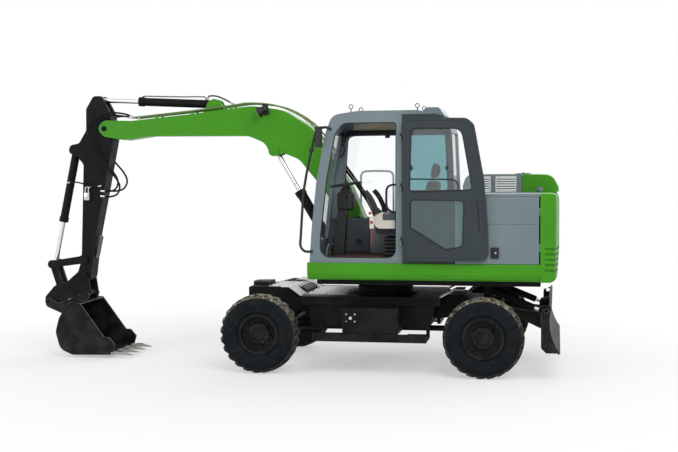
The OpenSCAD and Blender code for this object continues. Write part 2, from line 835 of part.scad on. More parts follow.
module counterweight() {
  plan = rounded([
    [seam_x, -house_half, 0], [seam_x, house_half, 0], [-tail_r + 35, house_half, 150],
    [-tail_r, house_half * 0.55, 900], [-tail_r, -house_half * 0.55, 900],
    [-tail_r + 35, -house_half, 150]
  ], 8);
  side = rounded([
    [seam_x, deck_z, 0], [-tail_r + 22, deck_z, 120], [-tail_r, deck_z + 330, 200],
    [-tail_r, bay_top, 90], [seam_x, bay_top, 0]
  ], 6);
  tail = rounded([
    [hood_seam, bay_top, 0], [hood_seam, hood_top, 30], [-tail_r + 80, hood_top - 8, 130],
    [-tail_r, bay_top + 30, 60], [-tail_r, bay_top, 0]
  ], 6);
  color("#4fa52e") {
    difference() {
      intersection() {
        slab_z(plan, deck_z - 10, bay_top + 10);
        plate_y(side, -house_half - 10, house_half + 10);
      }
      for (z = rib_z)
        difference() {
          block([-tail_r - 1, -house_half - 1, z], [seam_x - 45, house_half + 1, z + rib_h]);
          slab_z([for (q = plan) [q[0] + rib_d, q[1] * (1 - rib_d / house_half)]], z - 1, z + rib_h + 1);
        }
    }
    intersection() {
      slab_z(rounded([
        [hood_seam, -house_half + 20, 0], [hood_seam, hood_left, 0], [-tail_r + 5, hood_left, 60],
        [-tail_r + 5, -house_half + 20, 150]
      ]), bay_top - 1, hood_top + 10);
      plate_y(tail, -house_half, house_half);
    }
    for (z = side_hinge_z) {
      translate([side_hinge[0], side_hinge[1], z])
        cylinder(h = 40, r = side_hinge_r);
      translate([side_hinge[0], side_hinge[1], z])
        cylinder(h = 80, r = 3);
      block([seam_x - 1, side_hinge[1] - 5, z], [side_hinge[0], side_hinge[1] + 5, z + 40]);
    }
    for (y = hood_hinge_y) {
      pin_y(hood_hinge, 8, y, y + 60);
      pin_y(hood_hinge, 4, y, y + 120);
      block([hood_seam - 70, y, hood_top - 2], [hood_hinge[0], y + 60, hood_top + 8]);
    }
  }
}

module house_panels() {
  inner = house_half - panel_t;
  color("#75828a") {
    difference() {
      block([side_door_front + 2, inner, skirt_top], [bay_front, house_half - 2, bay_top - panel_t]);
      block([side_door_front, house_half - 6, crease_z], [bay_front + 1, house_half, crease_z + 5]);
    }
    translate([seam_x + 26, 300, bay_top - 1])
      cylinder(h = 30, r = 24);
    translate([seam_x + 26, 300, bay_top + 20])
      cylinder(h = 36, r = 44);
    block([seam_x, hood_left - 20, bay_top - panel_t], [bay_front, house_half - 2, bay_top]);
    block([seam_x, -house_half + 2, skirt_top], [bay_front, -house_half + 45, bay_top]);
    block([seam_x, -house_half + 3, bay_top - panel_t], [hood_seam, hood_left, bay_top - 1]);
    block([bay_front - panel_t, -inner, skirt_top], [bay_front, inner, bay_top - panel_t]);
    block([bay_front - panel_t, 200 - house_half, deck_z], [bay_front, house_half - 200, skirt_top + 1]);
  }
}

module engine_hood() {
  wall = 20;
  outline = rounded([
    [hood_seam + 5, bay_top + pin_gap, 0], [hood_seam + 5, hood_top, 20], [hood_front - 40, hood_top, 90],
    [hood_front, bay_top + 70, 60], [hood_front, bay_top + pin_gap, 0]
  ]);
  inside = rounded([
    [hood_seam + 5 + wall, bay_top, 0], [hood_seam + 5 + wall, hood_top - wall, 20],
    [hood_front - 40 - wall, hood_top - wall, 80], [hood_front - wall, bay_top + 60, 50],
    [hood_front - wall, bay_top, 0]
  ]);
  color("#75828a")
    difference() {
      union() {
        plate_y(outline, -house_half + 20, hood_left);
        for (y = hood_hinge_y) {
          pin_y(hood_hinge, 8, y + 60 + pin_gap, y + 120);
          block([hood_hinge[0], y + 60 + pin_gap, hood_top - 2], [hood_seam + 80, y + 120, hood_top + 8]);
        }
      }
      plate_y(inside, -house_half + 20 + wall, hood_left - wall);
      for (y = hood_hinge_y)
        pin_y(hood_hinge, 4 + pin_gap, y, y + 121);
      for (x = louvre_x)
        louvre_slots(x[0], x[1]);
    }
}

// Slots of one air grille in the hood's left wall
module louvre_slots(x0, x1) {
  for (z = [bay_top + 26 : 26 : hood_top - 40])
    translate([0, hood_left - 9, z])
      rotate([40, 0, 0])
        block([x0, -30, 0], [x1, 30, 9]);
}

module side_door() {
  inner = house_half - panel_t;
  latch = rounded([
    [side_door_front - 125, 1262, 20], [side_door_front - 45, 1262, 20],
    [side_door_front - 45, 1372, 20], [side_door_front - 125, 1372, 20]
  ]);
  color("#75828a") {
    difference() {
      block([seam_x + 14, inner, skirt_top + 3], [side_door_front, house_half - 2, bay_top - panel_t - 3]);
      block([seam_x, house_half - 6, crease_z], [side_door_front + 1, house_half, crease_z + 5]);
    }
    for (z = side_hinge_z)
      difference() {
        union() {
          translate([side_hinge[0], side_hinge[1], z + 40 + pin_gap])
            cylinder(h = 40, r = side_hinge_r);
          block(
            [side_hinge[0], side_hinge[1] - 5, z + 40 + pin_gap],
            [seam_x + 15, side_hinge[1] + 5, z + 80 + pin_gap]
          );
        }
        translate([side_hinge[0], side_hinge[1], z])
          cylinder(h = 100, r = 3 + pin_gap);
      }
    plate_y(latch, house_half - 3, house_half + 10);
  }
}

module power_unit() {
  color("#54585a") {
    block([seam_x + 100, -560, deck_z], [bay_front - 190, 420, 1560]);
    block([seam_x + 180, -380, 1559], [bay_front - 250, 300, 1790]);
  }
}

module tank_housing() {
  left = arm_y - boom_half - side_gap - ear_t - 90;
  tank = rounded([
    [bay_front + 6, skirt_top, 0], [bay_front + 6, bay_top - 150, 60], [-160, bay_top - 180, 90],
    [-90, skirt_top, 0]
  ]);
  front = rounded([
    [-89, skirt_top, 0], [-85, skirt_top + 240, 0], [560, skirt_top + 200, 80], [640, skirt_top, 0]
  ]);
  color("#75828a") {
    plate_y(tank, -house_half + 10, left);
    plate_y(front, -house_half + 10, left);
  }
}

// Cab

// Side outline of the cab, set in by d all round
function cab_outline(d) = rounded([
  [679 - d, skirt_top + d, 20], [652 - d, 1560, 300], [594 - d, 2084, 300], [500 - d, 2554, 200],
  [425 - d, cab_top - 40 - d, 120], [150, cab_top - d, 300], [-480, cab_top - d, 200],
  [-780 + d, cab_top - 70 - d, 120], [-835 + d, 2560, 200], [cab_rear + d, 1960, 100],
  [cab_rear + d, skirt_top + d, 20]
]);

// Opening of the doorway
function doorway(d) = rounded([
  [570 - d, 1252 + d, 110 - d], [560 - d, 1500, 200], [490 - d, 2083, 300], [400 - d, 2552, 100],
  [310 - d, roof_z - 22 - d, 110 - d], [-262 + d, roof_z - 22 - d, 40], [-250 + d, 1252 + d, 90 - d]
]);

// Side windows
function rear_side_window() = rounded([
  [-345, 1960, 40], [-345, 2600, 60], [-770, 2600, 80], [-800, 1960, 40]
]);
function right_window() = rounded([
  [470, 1560, 60], [400, 2560, 90], [-770, 2600, 80], [-800, 1760, 60]
]);

module front_window_cut() {
  block([300, cab_right + 75, 1420], [900, cab_left - 75, 2560]);
}

module rear_window_cut() {
  block([-1000, cab_right + 75, 1990], [-700, cab_left - 75, 2560]);
}

module cab_frame() {
  color("#75828a")
    union() {
      difference() {
        intersection() {
          plate_y(cab_outline(0), cab_right, cab_left);
          block([-1000, cab_right - 1, 0], [1000, cab_left + 1, roof_z]);
        }
        intersection() {
          plate_y(cab_outline(cab_wall), cab_right + cab_wall, cab_left - cab_wall);
          block([-1000, cab_right, 0], [1000, cab_left, roof_z + 1]);
        }
        plate_y(doorway(0), cab_left - cab_wall - 1, cab_left + 1);
        plate_y(rear_side_window(), cab_left - cab_wall - 1, cab_left + 1);
        plate_y(right_window(), cab_right - 1, cab_right + cab_wall + 1);
        front_window_cut();
        rear_window_cut();
      }
      for (z = hinge_z)
        hinge_lug(z);
    }
}

// Hinge knuckle on the cab's pillar, with the door's pin in it
module hinge_lug(z) {
  translate([door_hinge[0], door_hinge[1], z])
    cylinder(h = 40, r = knuckle_r);
  block([door_hinge[0] - 9, cab_left - 1, z], [door_hinge[0] + 9, door_hinge[1], z + 40]);
  translate([door_hinge[0], door_hinge[1], z])
    cylinder(h = 80, r = 6);
}

module cab_roof() {
  hump = rounded([
    [-505, cab_top - 20, 0], [-560, cab_top + 32, 20], [-690, cab_top + 32, 30], [-750, cab_top - 58, 0]
  ]);
  color("#75828a") {
    difference() {
      intersection() {
        plate_y(cab_outline(0), cab_right, cab_left);
        block([-1000, cab_right - 1, roof_z], [1000, cab_left + 1, cab_top + 10]);
      }
      intersection() {
        plate_y(cab_outline(cab_wall), cab_right + cab_wall, cab_left - cab_wall);
        block([-1000, cab_right, roof_z - 1], [1000, cab_left, cab_top]);
      }
    }
    plate_y(hump, cab_right + 120, cab_left - 120);
    for (x = [235, -470])
      for (y = [cab_left - 90, cab_right + 90])
        lifting_eye(x, y);
  }
}

// Ring bolt on the roof
module lifting_eye(x, y) {
  translate([x, y, cab_top - 60])
    cylinder(h = 92, r = 7);
  translate([x, y, cab_top + 50])
    rotate([90, 0, 0])
      rotate_extrude()
        translate([21, 0])
          circle(r = 5);
}

module cab_glass() {
  inset = 16;
  color("#8fc1c4", 0.4) {
    intersection() {
      difference() {
        plate_y(cab_outline(inset), cab_right + 75, cab_left - 75);
        plate_y(cab_outline(inset + glass_t), cab_right, cab_left);
      }
      front_window_cut();
    }
    intersection() {
      difference() {
        plate_y(cab_outline(inset), cab_right + 75, cab_left - 75);
        plate_y(cab_outline(inset + glass_t), cab_right, cab_left);
      }
      rear_window_cut();
    }
    plate_y(rear_side_window(), cab_left - 25, cab_left - 25 + glass_t);
    plate_y(right_window(), cab_right + 20, cab_right + 20 + glass_t);
  }
}

// Cab door, closed outline in the machine's own side view
function door_outline(d) = rounded([
  [596 - d, 1232 + d, 90], [590 - d, 1560, 200], [548 - d, 2083, 300], [448 - d, 2640, 90],
  [372 - d, 2706 - d, 90], [door_hinge[0] + 24 + d, 2718 - d, 40], [door_hinge[0] + 24 + d, 1232 + d, 40]
]);
function door_upper_window() = rounded([
  [430, 1968, 40], [320, 2600, 110], [-200, 2606, 60], [-222, 1950, 40]
]);
function door_lower_window() = rounded([
  [330, 1380, 60], [345, 1858, 50], [-215, 1868, 50], [-215, 1580, 40], [150, 1352, 60]
]);

// Outline mirrored to where the open door lies
function opened(p) = [for (q = p) [door_swap - q[0], q[1]]];

module cab_door() {
  y0 = door_inner;
  y1 = door_inner + door_t;
  color("#4a5056") {
    difference() {
      union() {
        plate_y(opened(door_outline(0)), y0, y1);
        for (z = hinge_z)
          door_knuckle(z + 40.5);
      }
      plate_y(opened(door_upper_window()), y0 - 1, y1 + 1);
      plate_y(opened(door_lower_window()), y0 - 1, y1 + 1);
      for (z = hinge_z)
        translate([door_hinge[0], door_hinge[1], z + 39])
          cylinder(h = 42, r = 6 + pin_gap);
    }
  }
}

// Hinge knuckle on the door's edge
module door_knuckle(z) {
  translate([door_hinge[0], door_hinge[1], z])
    cylinder(h = 39, r = knuckle_r);
  block([door_hinge[0] - 30, door_hinge[1], z], [door_hinge[0], door_hinge[1] + knuckle_r, z + 39]);
}

module cab_door_glass() {
  y0 = door_inner + (door_t - glass_t) / 2;
  color("#8fc1c4", 0.4) {
    plate_y(opened(door_upper_window()), y0, y0 + glass_t);
    plate_y(opened(door_lower_window()), y0, y0 + glass_t);
  }
}

module seat() {
  mid = (cab_left + cab_right) / 2;
  floor_z = skirt_top + cab_wall;
  color("#2c2f33") {
    block([-470, mid - 190, floor_z], [-80, mid + 190, 1480]);
    plate_y(rounded([
      [-500, 1480, 30], [40, 1480, 50], [40, 1590, 50], [-420, 1590, 0], [-560, 2100, 60],
      [-680, 2080, 60], [-560, 1580, 60]
    ]), mid - 240, mid + 240);
    plate_y(rounded([
      [-570, 2080, 0], [-610, 2290, 40], [-680, 2280, 40], [-650, 2060, 0]
    ]), mid - 130, mid + 130);
  }
}

module consoles() {
  mid = (cab_left + cab_right) / 2;
  floor_z = skirt_top + cab_wall;
  outline = rounded([
    [-560, 1560, 30], [-560, 1700, 40], [-60, 1720, 60], [20, 1660, 30], [-40, 1560, 60]
  ]);
  color("#9a9688")
    for (y0 = [cab_right + cab_wall + 25, mid + 250]) {
      plate_y(outline, y0, y0 + 85);
      block([-520, y0, floor_z], [-260, y0 + 85, 1561]);
    }
  color("#1f2123")
    for (y0 = [cab_right + cab_wall + 67, mid + 292])
      tube([[-40, y0, 1690], [-10, y0, 1790], [40, y0, 1890], [90, y0, 1950]], 24, 2, 10);
}

module steering_column() {
  mid = (cab_left + cab_right) / 2;
  floor_z = skirt_top + cab_wall;
  hub = [355, mid, 2010];
  color("#1f2123") {
    plate_y(rounded([
      [500, floor_z, 20], [372, floor_z, 20], [352, 1560, 90], [312, 1950, 15], [402, 1984, 15],
      [462, 1560, 90]
    ]), mid - 50, mid + 50);
    translate(hub)
      rotate([0, 8, 0]) {
        translate([0, 0, -60])
          cylinder(h = 70, r = 40);
        rotate_extrude()
          translate([165, 12])
            circle(r = 13);
        for (a = [0, 120, 240])
          rotate([0, 0, a])
            translate([0, -14, 0])
              cube([158, 28, 12]);
      }
  }
}

module rails_mirrors() {
  rail_y = cab_left + 14;
  color("#232526") {
    tube([
      [440, cab_left + pin_gap, 2610], [448, cab_left + 12, 2618], [505, rail_y, 2630],
      [590, rail_y, 2585], [640, rail_y, 2400], [726, rail_y, 1988], [765, rail_y, 1500],
      [770, rail_y, 1377], [725, rail_y, 1322], [662, cab_left + 12, 1318],
      [650, cab_left + pin_gap, 1318]
    ], 14, 3, 10);
    block([616, rail_y - 17, 2372], [664, rail_y + 17, 2414]);
    slab_z(rounded([
      [520, rail_y + 22, 6], [596, rail_y + 2, 6], [604, rail_y + 24, 8], [528, rail_y + 50, 8]
    ]), 2420, 2640);
    tube([
      [-718, -house_half + 90, bay_top - 155], [-718, -house_half + 90, 2100],
      [-718, -house_half + 80, 2260]
    ], 12, 3, 10, [1, 0, 0]);
    block([-733, -house_half + 20, 2210], [-703, -house_half + 160, 2360]);
  }
}

// Working arm

// Hand rail that stands on the right front platform
module right_rail() {
  y = 80 - house_half;
  color("#b9bdbf") {
    tube([
      [436, y, skirt_top + 222], [436, y, 1700], [436, y, 2060], [428, y, 2120], [390, y, 2158],
      [230, y, 2164], [84, y, 2158], [46, y, 2120], [38, y, 2060], [38, y, 1700], [38, y, skirt_top + 247]
    ], 13, 3, 10);
    for (x = [436, 38])
      translate([x, y, skirt_top + (x > 200 ? 209.9 : 234.9)])
        cylinder(h = 14, r = 32);
  }
}

module in_arm_plane() {
  translate([0, arm_y, 0])
    children();
}

module boom() {
  outline = rounded(boom_fit([
    [-85, 30, 60], [110, 470, 300], [520, 1100, 420], [880, 1320, 420], [1240, 1372, 500],
    [1969, 1290, 800], [2700, 1222, 300], [3044, 1232, 90], [3140, 1140, 80], [3050, 1042, 80],
    [2800, 997, 120], [2480, 1040, 300], [1290, 1030, 300], [1090, 944, 150], [1035, 830, 40],
    [955, 792, 50], [880, 830, 40], [690, 755, 200], [490, 510, 300], [75, -50, 60], [-20, -95, 60]
  ]));
  base_ear = rounded(boom_fit([
    [1560, 1300, 0], [1640, 1440, 50], [1710, 1468, 50], [1780, 1430, 50], [1860, 1260, 0]
  ]));
  rod_line = unit(boom_cyl_pin - boom_cyl_base);
  color("#4fa52e")
    in_arm_plane()
      difference() {
        union() {
          plate_y(outline, -boom_half, boom_half);
          pin_y(boom_foot, foot_pin_r, -boom_half - foot_pin_out, boom_half + foot_pin_out);
          plate_y(base_ear, base_slot, base_slot + 20);
          plate_y(base_ear, -base_slot - 20, -base_slot);
          pin_y(stick_cyl_base, eye_pin_r, -base_slot - 20, base_slot + 20);
          pin_y(boom_cyl_pin, 62, belly_half, boom_half + 12);
          pin_y(boom_cyl_pin, 62, -boom_half - 12, -belly_half);
          pipe_pads();
        }
        block(
          [boom_tip[0] - 290, -fork_in, boom_tip[1] - 400],
          [boom_tip[0] + 300, fork_in, boom_tip[1] + 400]
        );
        pin_y(boom_tip, arm_pin_r + pin_gap, -boom_half - 1, boom_half + 1);
        translate([boom_cyl_pin[0], 0, boom_cyl_pin[1]])
          rotate([0, atan2(rod_line[0], rod_line[1]), 0])
            translate([-200, -belly_half, -360])
              cube([400, 2 * belly_half, 360 + eye_r + 22]);
      }
}

// Route of the pipes along the boom's back
pipe_route = boom_fit([
  [316, 853], [545, 1154], [877, 1348], [1241, 1404], [1497, 1379], [1967, 1326], [2399, 1286], [2679, 1260]
]);
pipe_r = 10;
pipe_y = [boom_half - 12, boom_half - 34, 12 - boom_half];

module boom_pipes() {
  color("#4b4f52")
    in_arm_plane()
      for (y = pipe_y)
        tube([for (p = pipe_route) [p[0], y, p[1]]], pipe_r, 3, 8);
}

// Pads on the boom's back that the pipes lie on
module pipe_pads() {
  for (i = [4, 5, 6]) {
    d = pipe_route[i + 1] - pipe_route[i - 1];
    translate([pipe_route[i][0], 0, pipe_route[i][1]])
      rotate([0, -atan2(d[1], d[0]), 0])
        for (y = pipe_y)
          translate([-12, y - 10, -pipe_r - 0.5 - 60])
            cube([24, 20, 60]);
  }
}

// Work lamp on its bracket, on the boom's left side
module boom_lamp() {
  seat = boom_half + pin_gap;
  color("#1c1d1e")
    in_arm_plane()
      translate([lamp_at[0], 0, lamp_at[1]]) {
        plate_y(rounded([
          [-40, -60, 12], [30, -60, 12], [45, 70, 12], [-25, 70, 12]
        ]), seat, seat + 8);
        block([-12, seat + 7, -10], [12, seat + 75, 14]);
        translate([0, seat + 90, 0])
          rotate([0, 118, 0]) {
            cylinder(h = 62, r1 = 38, r2 = 58);
            translate([0, 0, 61])
              cylinder(h = 16, r = 62);
            translate([0, 0, -18])
              cylinder(h = 19, r = 26);
          }
      }
}

module boom_barrel() {
  color("#2b2d2f")
    barrel(boom_cyl_base, boom_cyl_pin, boom_barrel_r, arm_y, boom_barrel_len, boom_barrel_r);
}

module boom_rod() {
  color("#c9ced1")
    rod(boom_cyl_base, boom_cyl_pin, arm_y, boom_rod_len, eye_half, belly_half - 4);
}

module stick_barrel() {
  color("#2b2d2f")
    barrel(stick_cyl_base, stick_cyl_pin, arm_barrel_r, arm_y, stick_barrel_len, arm_barrel_r);
}

module stick_rod() {
  color("#c9ced1")
    rod(stick_cyl_base, stick_cyl_pin, arm_y, stick_rod_len, eye_half, eye_half + 4);
}

module stick() {
  low = -stick_drop;
  outline = rounded(moved([
    [40, 385, 40], [140, 385, 50], [232, 235, 60], [236, -20, 60], [330, -170, 60],
    [450, -190, 60], [462, -290, 60], [372, -306, 50], [276, -420, 60],
    [322, low + 190, 100], [380, low + 20, 60], [345, low - 75, 60], [250, low - 72, 60],
    [205, low - 10, 60],
    [146, low + 440, 300], [22, -735, 500], [-105, -125, 120], [-70, 180, 100]
  ], boom_tip));
  slot_half = eye_half + side_gap;
  color("#242625")
    in_arm_plane()
      difference() {
        union() {
          difference() {
            plate_y(outline, -stick_half, stick_half);
            block(
              [boom_tip[0] - 300, -slot_half, boom_tip[1] + 150],
              [boom_tip[0] + 300, slot_half, boom_tip[1] + 600]
            );
            pin_y(bucket_cyl_base, eye_r + 14, -base_slot, base_slot);
            block(
              [bucket_cyl_base[0] - 62, -base_slot, bucket_cyl_base[1] - 260],
              [bucket_cyl_base[0] + 160, base_slot, bucket_cyl_base[1] + 20]
            );
          }
          pin_y(boom_tip, arm_pin_r, -boom_half - 6, boom_half + 6);
          pin_y(bucket_cyl_base, eye_pin_r, -base_slot - 5, base_slot + 5);
        }
        pin_y(rocker_pin, arm_pin_r + pin_gap, -stick_half - 1, stick_half + 1);
        pin_y(stick_end, arm_pin_r + pin_gap, -stick_half - 1, stick_half + 1);
      }
}

module bucket_barrel() {
  color("#2b2d2f")
    barrel(bucket_cyl_base, rocker_end, arm_barrel_r, arm_y, bucket_barrel_len, arm_barrel_r);
}

module bucket_rod() {
  color("#c9ced1")
    rod(bucket_cyl_base, rocker_end, arm_y, bucket_rod_len, eye_half, eye_half + 6);
}

// Flat link between two pins, with round ends
module strap(a, b, ra, rb, y0, y1) {
  n = [-(b - a)[1], (b - a)[0]] / norm(b - a);
  plate_y([a + n * ra * 0.8, b + n * rb * 0.8, b - n * rb * 0.8, a - n * ra * 0.8], y0, y1);
  pin_y(a, ra, y0, y1);
  pin_y(b, rb, y0, y1);
}

module rocker() {
  color("#242625")
    in_arm_plane()
      difference() {
        union() {
          for (y0 = [rocker_in, -rocker_out])
            strap(rocker_pin, rocker_end, 58, 50, y0, y0 + rocker_t);
          pin_y(rocker_pin, arm_pin_r, -rocker_out - 6, rocker_out + 6);
        }
        pin_y(rocker_end, eye_pin_r + pin_gap, -rocker_out - 1, rocker_out + 1);
      }
}

module bucket_link() {
  color("#242625")
    in_arm_plane() {
      for (s = [-1, 1]) {
        strap(rocker_end, link_pin, 46, 46, s > 0 ? link_in : -link_out, s > 0 ? link_out : -link_in);
        pin_y(rocker_end, eye_pin_r, s > 0 ? link_in : -rocker_out - 6, s > 0 ? rocker_out + 6 : -link_in);
      }
      pin_y(link_pin, 46, -link_out, link_out);
    }
}

module coupler() {
  outline = rounded(moved([
    [-20, 62, 60], [60, 50, 60], [200, -70, 60], [310, -88, 50], [370, -130, 50], [480, -250, 50],
    [490, -330, 50], [430, -365, 50], [330, -300, 60], [60, -250, 80], [-40, -262, 50], [-100, -215, 50],
    [-70, -20, 50]
  ], stick_end));
  brace = rounded(moved([
    [60, -190, 20], [230, -225, 40], [400, -310, 20], [360, -335, 20], [200, -272, 40], [60, -245, 20]
  ], stick_end));
  color("#242625")
    in_arm_plane() {
      for (y0 = [rocker_in, -rocker_out - 4])
        plate_y(outline, y0, y0 + rocker_t + 4);
      pin_y(stick_end, arm_pin_r, -rocker_out - 12, rocker_out + 12);
      plate_y(brace, -rocker_in, rocker_in);
      for (p = [bucket_pin_a, bucket_pin_b])
        pin_y(p, 30, -rocker_out - 40, rocker_out + 40);
    }
}

// Side outline of the bucket, set in by d from its shell, with its mouth drawn out by m
function bucket_outline(d, m) = rounded(moved([
  [-55 - m, -295 - d, 10], [70 - d, -282 - d, 60], [205 - d, -470, 180], [252 - d, -640, 140],
  [195 - d, -845, 130], [40, -908 + d, 90], [-444 - m, -897 + d, 0], [-481 - m, -773, 0],
  [-410 - m, -691, 20], [-350 - m, -692, 20]
], stick_end), 6);

module bucket() {
  ear = rounded(moved([
    [-100, -215, 40], [-50, -160, 40], [20, -215, 40], [300, -330, 60], [420, -252, 40], [480, -300, 40],
    [450, -370, 40], [330, -420, 80], [190, -480, 40], [40, -300, 0], [-60, -300, 20]
  ], stick_end));
  tooth = moved([[-686, -900], [-560, -862], [-430, -866], [-430, -896]], stick_end);
  pitch = (bucket_w - 90) / 3;
  color("#242625")
    in_arm_plane()
      difference() {
        union() {
          difference() {
            plate_y(bucket_outline(0, 0), -bucket_half, bucket_half);
            plate_y(bucket_outline(bucket_t, 200), -bucket_half + bucket_t, bucket_half - bucket_t);
          }
          for (y0 = [rocker_out + 10, -rocker_out - 35])
            difference() {
              plate_y(ear, y0, y0 + 25);
              plate_y(bucket_outline(bucket_t, 200), y0 - 1, y0 + 26);
            }
          for (i = [0:3])
            plate_y(tooth, -bucket_half + 15 + i * pitch, -bucket_half + 75 + i * pitch);
        }
        for (p = [bucket_pin_a, bucket_pin_b])
          pin_y(p, 30, -rocker_out - 41, rocker_out + 41);
      }
}

// Swing axis at its place in the frame
module placed() {
  translate([swing_x, 0, 0])
    children();
}

placed() chassis_frame();
placed() chassis_spine();
placed() blade_mount();
placed() front_axle();
placed() rear_axle();
placed() driveline();
placed() slew_ring();
placed() side_steps();
placed() tool_boxes();
placed() fender_plates();
placed() tool_box_door();
placed() knuckle_left();
placed() knuckle_right();
placed() tie_rod();
placed() rim_fl();
placed() rim_fr();
placed() rim_rl();
placed() rim_rr();
placed() tyre_fl();
placed() tyre_fr();
placed() tyre_rl();
placed() tyre_rr();
placed() blade();
placed() blade_barrels();
placed() blade_rods();
placed() upper_frame();
placed() skirts();
placed() counterweight();
placed() house_panels();
placed() engine_hood();
placed() side_door();
placed() power_unit();
placed() tank_housing();
placed() cab_frame();
placed() cab_roof();
placed() cab_glass();
placed() cab_door();
placed() cab_door_glass();
placed() seat();
placed() consoles();
placed() steering_column();
placed() rails_mirrors();
placed() right_rail();
placed() boom();
placed() boom_pipes();
placed() boom_lamp();
placed() boom_barrel();
placed() boom_rod();
placed() stick_barrel();
placed() stick_rod();
placed() stick();
placed() bucket_barrel();
placed() bucket_rod();
placed() rocker();
placed() bucket_link();
placed() coupler();
placed() bucket();
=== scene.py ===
"""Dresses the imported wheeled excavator: finishes for every solid, soft parts, hoses and small fittings.

Places are millimetres from the swing axis on the ground: ahead, to the machine's left, and up. Other sizes are metres.
"""

from __future__ import annotations

import json
import logging
import math
from dataclasses import dataclass
from enum import Enum

import bpy
from mathutils import Matrix, Vector

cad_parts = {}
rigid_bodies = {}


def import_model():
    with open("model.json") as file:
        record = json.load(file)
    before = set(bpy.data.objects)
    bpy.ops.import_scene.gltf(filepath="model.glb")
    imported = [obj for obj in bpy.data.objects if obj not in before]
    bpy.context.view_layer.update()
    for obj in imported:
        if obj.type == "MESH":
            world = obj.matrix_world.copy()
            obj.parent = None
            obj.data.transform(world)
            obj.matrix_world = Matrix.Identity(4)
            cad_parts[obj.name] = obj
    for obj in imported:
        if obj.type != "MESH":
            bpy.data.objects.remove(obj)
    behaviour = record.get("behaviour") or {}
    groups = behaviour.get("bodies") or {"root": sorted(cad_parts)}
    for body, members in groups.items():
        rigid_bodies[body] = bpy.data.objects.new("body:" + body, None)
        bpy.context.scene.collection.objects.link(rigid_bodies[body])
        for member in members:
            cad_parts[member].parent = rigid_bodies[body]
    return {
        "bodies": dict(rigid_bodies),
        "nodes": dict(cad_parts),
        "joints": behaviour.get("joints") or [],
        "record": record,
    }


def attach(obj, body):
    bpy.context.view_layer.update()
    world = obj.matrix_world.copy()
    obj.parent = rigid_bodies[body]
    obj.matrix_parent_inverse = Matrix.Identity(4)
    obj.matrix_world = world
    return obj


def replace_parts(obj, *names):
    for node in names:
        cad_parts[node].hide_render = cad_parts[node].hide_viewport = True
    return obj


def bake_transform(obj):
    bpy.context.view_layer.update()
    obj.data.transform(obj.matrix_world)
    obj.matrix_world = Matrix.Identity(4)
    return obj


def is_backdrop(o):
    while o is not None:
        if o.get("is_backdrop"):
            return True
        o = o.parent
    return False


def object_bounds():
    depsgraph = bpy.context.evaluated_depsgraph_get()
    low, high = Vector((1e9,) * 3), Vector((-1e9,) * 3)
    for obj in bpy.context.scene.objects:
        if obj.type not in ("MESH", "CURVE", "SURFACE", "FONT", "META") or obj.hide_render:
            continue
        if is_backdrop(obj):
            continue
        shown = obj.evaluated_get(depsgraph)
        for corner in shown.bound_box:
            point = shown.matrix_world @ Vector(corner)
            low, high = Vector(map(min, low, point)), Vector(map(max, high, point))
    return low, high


LOG = logging.getLogger("excavator")
SWING_X = -1.103
ARM_Y = -60

Colour = tuple[float, float, float]
Point = tuple[float, float, float]
Box = tuple[Point, Point]
Range = tuple[float, float]
Grain = tuple[float, float]
Node = bpy.types.Node
Socket = bpy.types.NodeSocket
Piece = bpy.types.Object

LEFT: Point = (0.0, 1.0, 0.0)
UP: Point = (0.0, 0.0, 1.0)
DOWN: Point = (0.0, 0.0, -1.0)
BACK: Point = (-1.0, 0.0, 0.0)
FULL: Range = (0.0, 1.0)
MOST: Range = (0.3, 0.7)
HALF: Range = (0.35, 0.65)


def machine_point(x: float, y: float, z: float) -> Vector:
    """Turns a place measured from the swing axis into the shared frame.

    Args:
        x: Millimetres ahead of the swing axis.
        y: Millimetres to the machine's left.
        z: Millimetres above the ground.

    Returns:
        The same place in metres, in the shared frame.
    """
    return Vector((x / 1000 + SWING_X, y / 1000, z / 1000))


def facing(axis: Point | Vector) -> Matrix:
    """Gives the turn from upright to an axis."""
    return Vector(axis).to_track_quat("Z", "Y").to_matrix().to_4x4()


def scaled(colour: Colour, factor: float) -> Colour:
    """Makes a colour lighter or darker by a factor."""
    return tuple(min(1.0, factor * c) for c in colour)


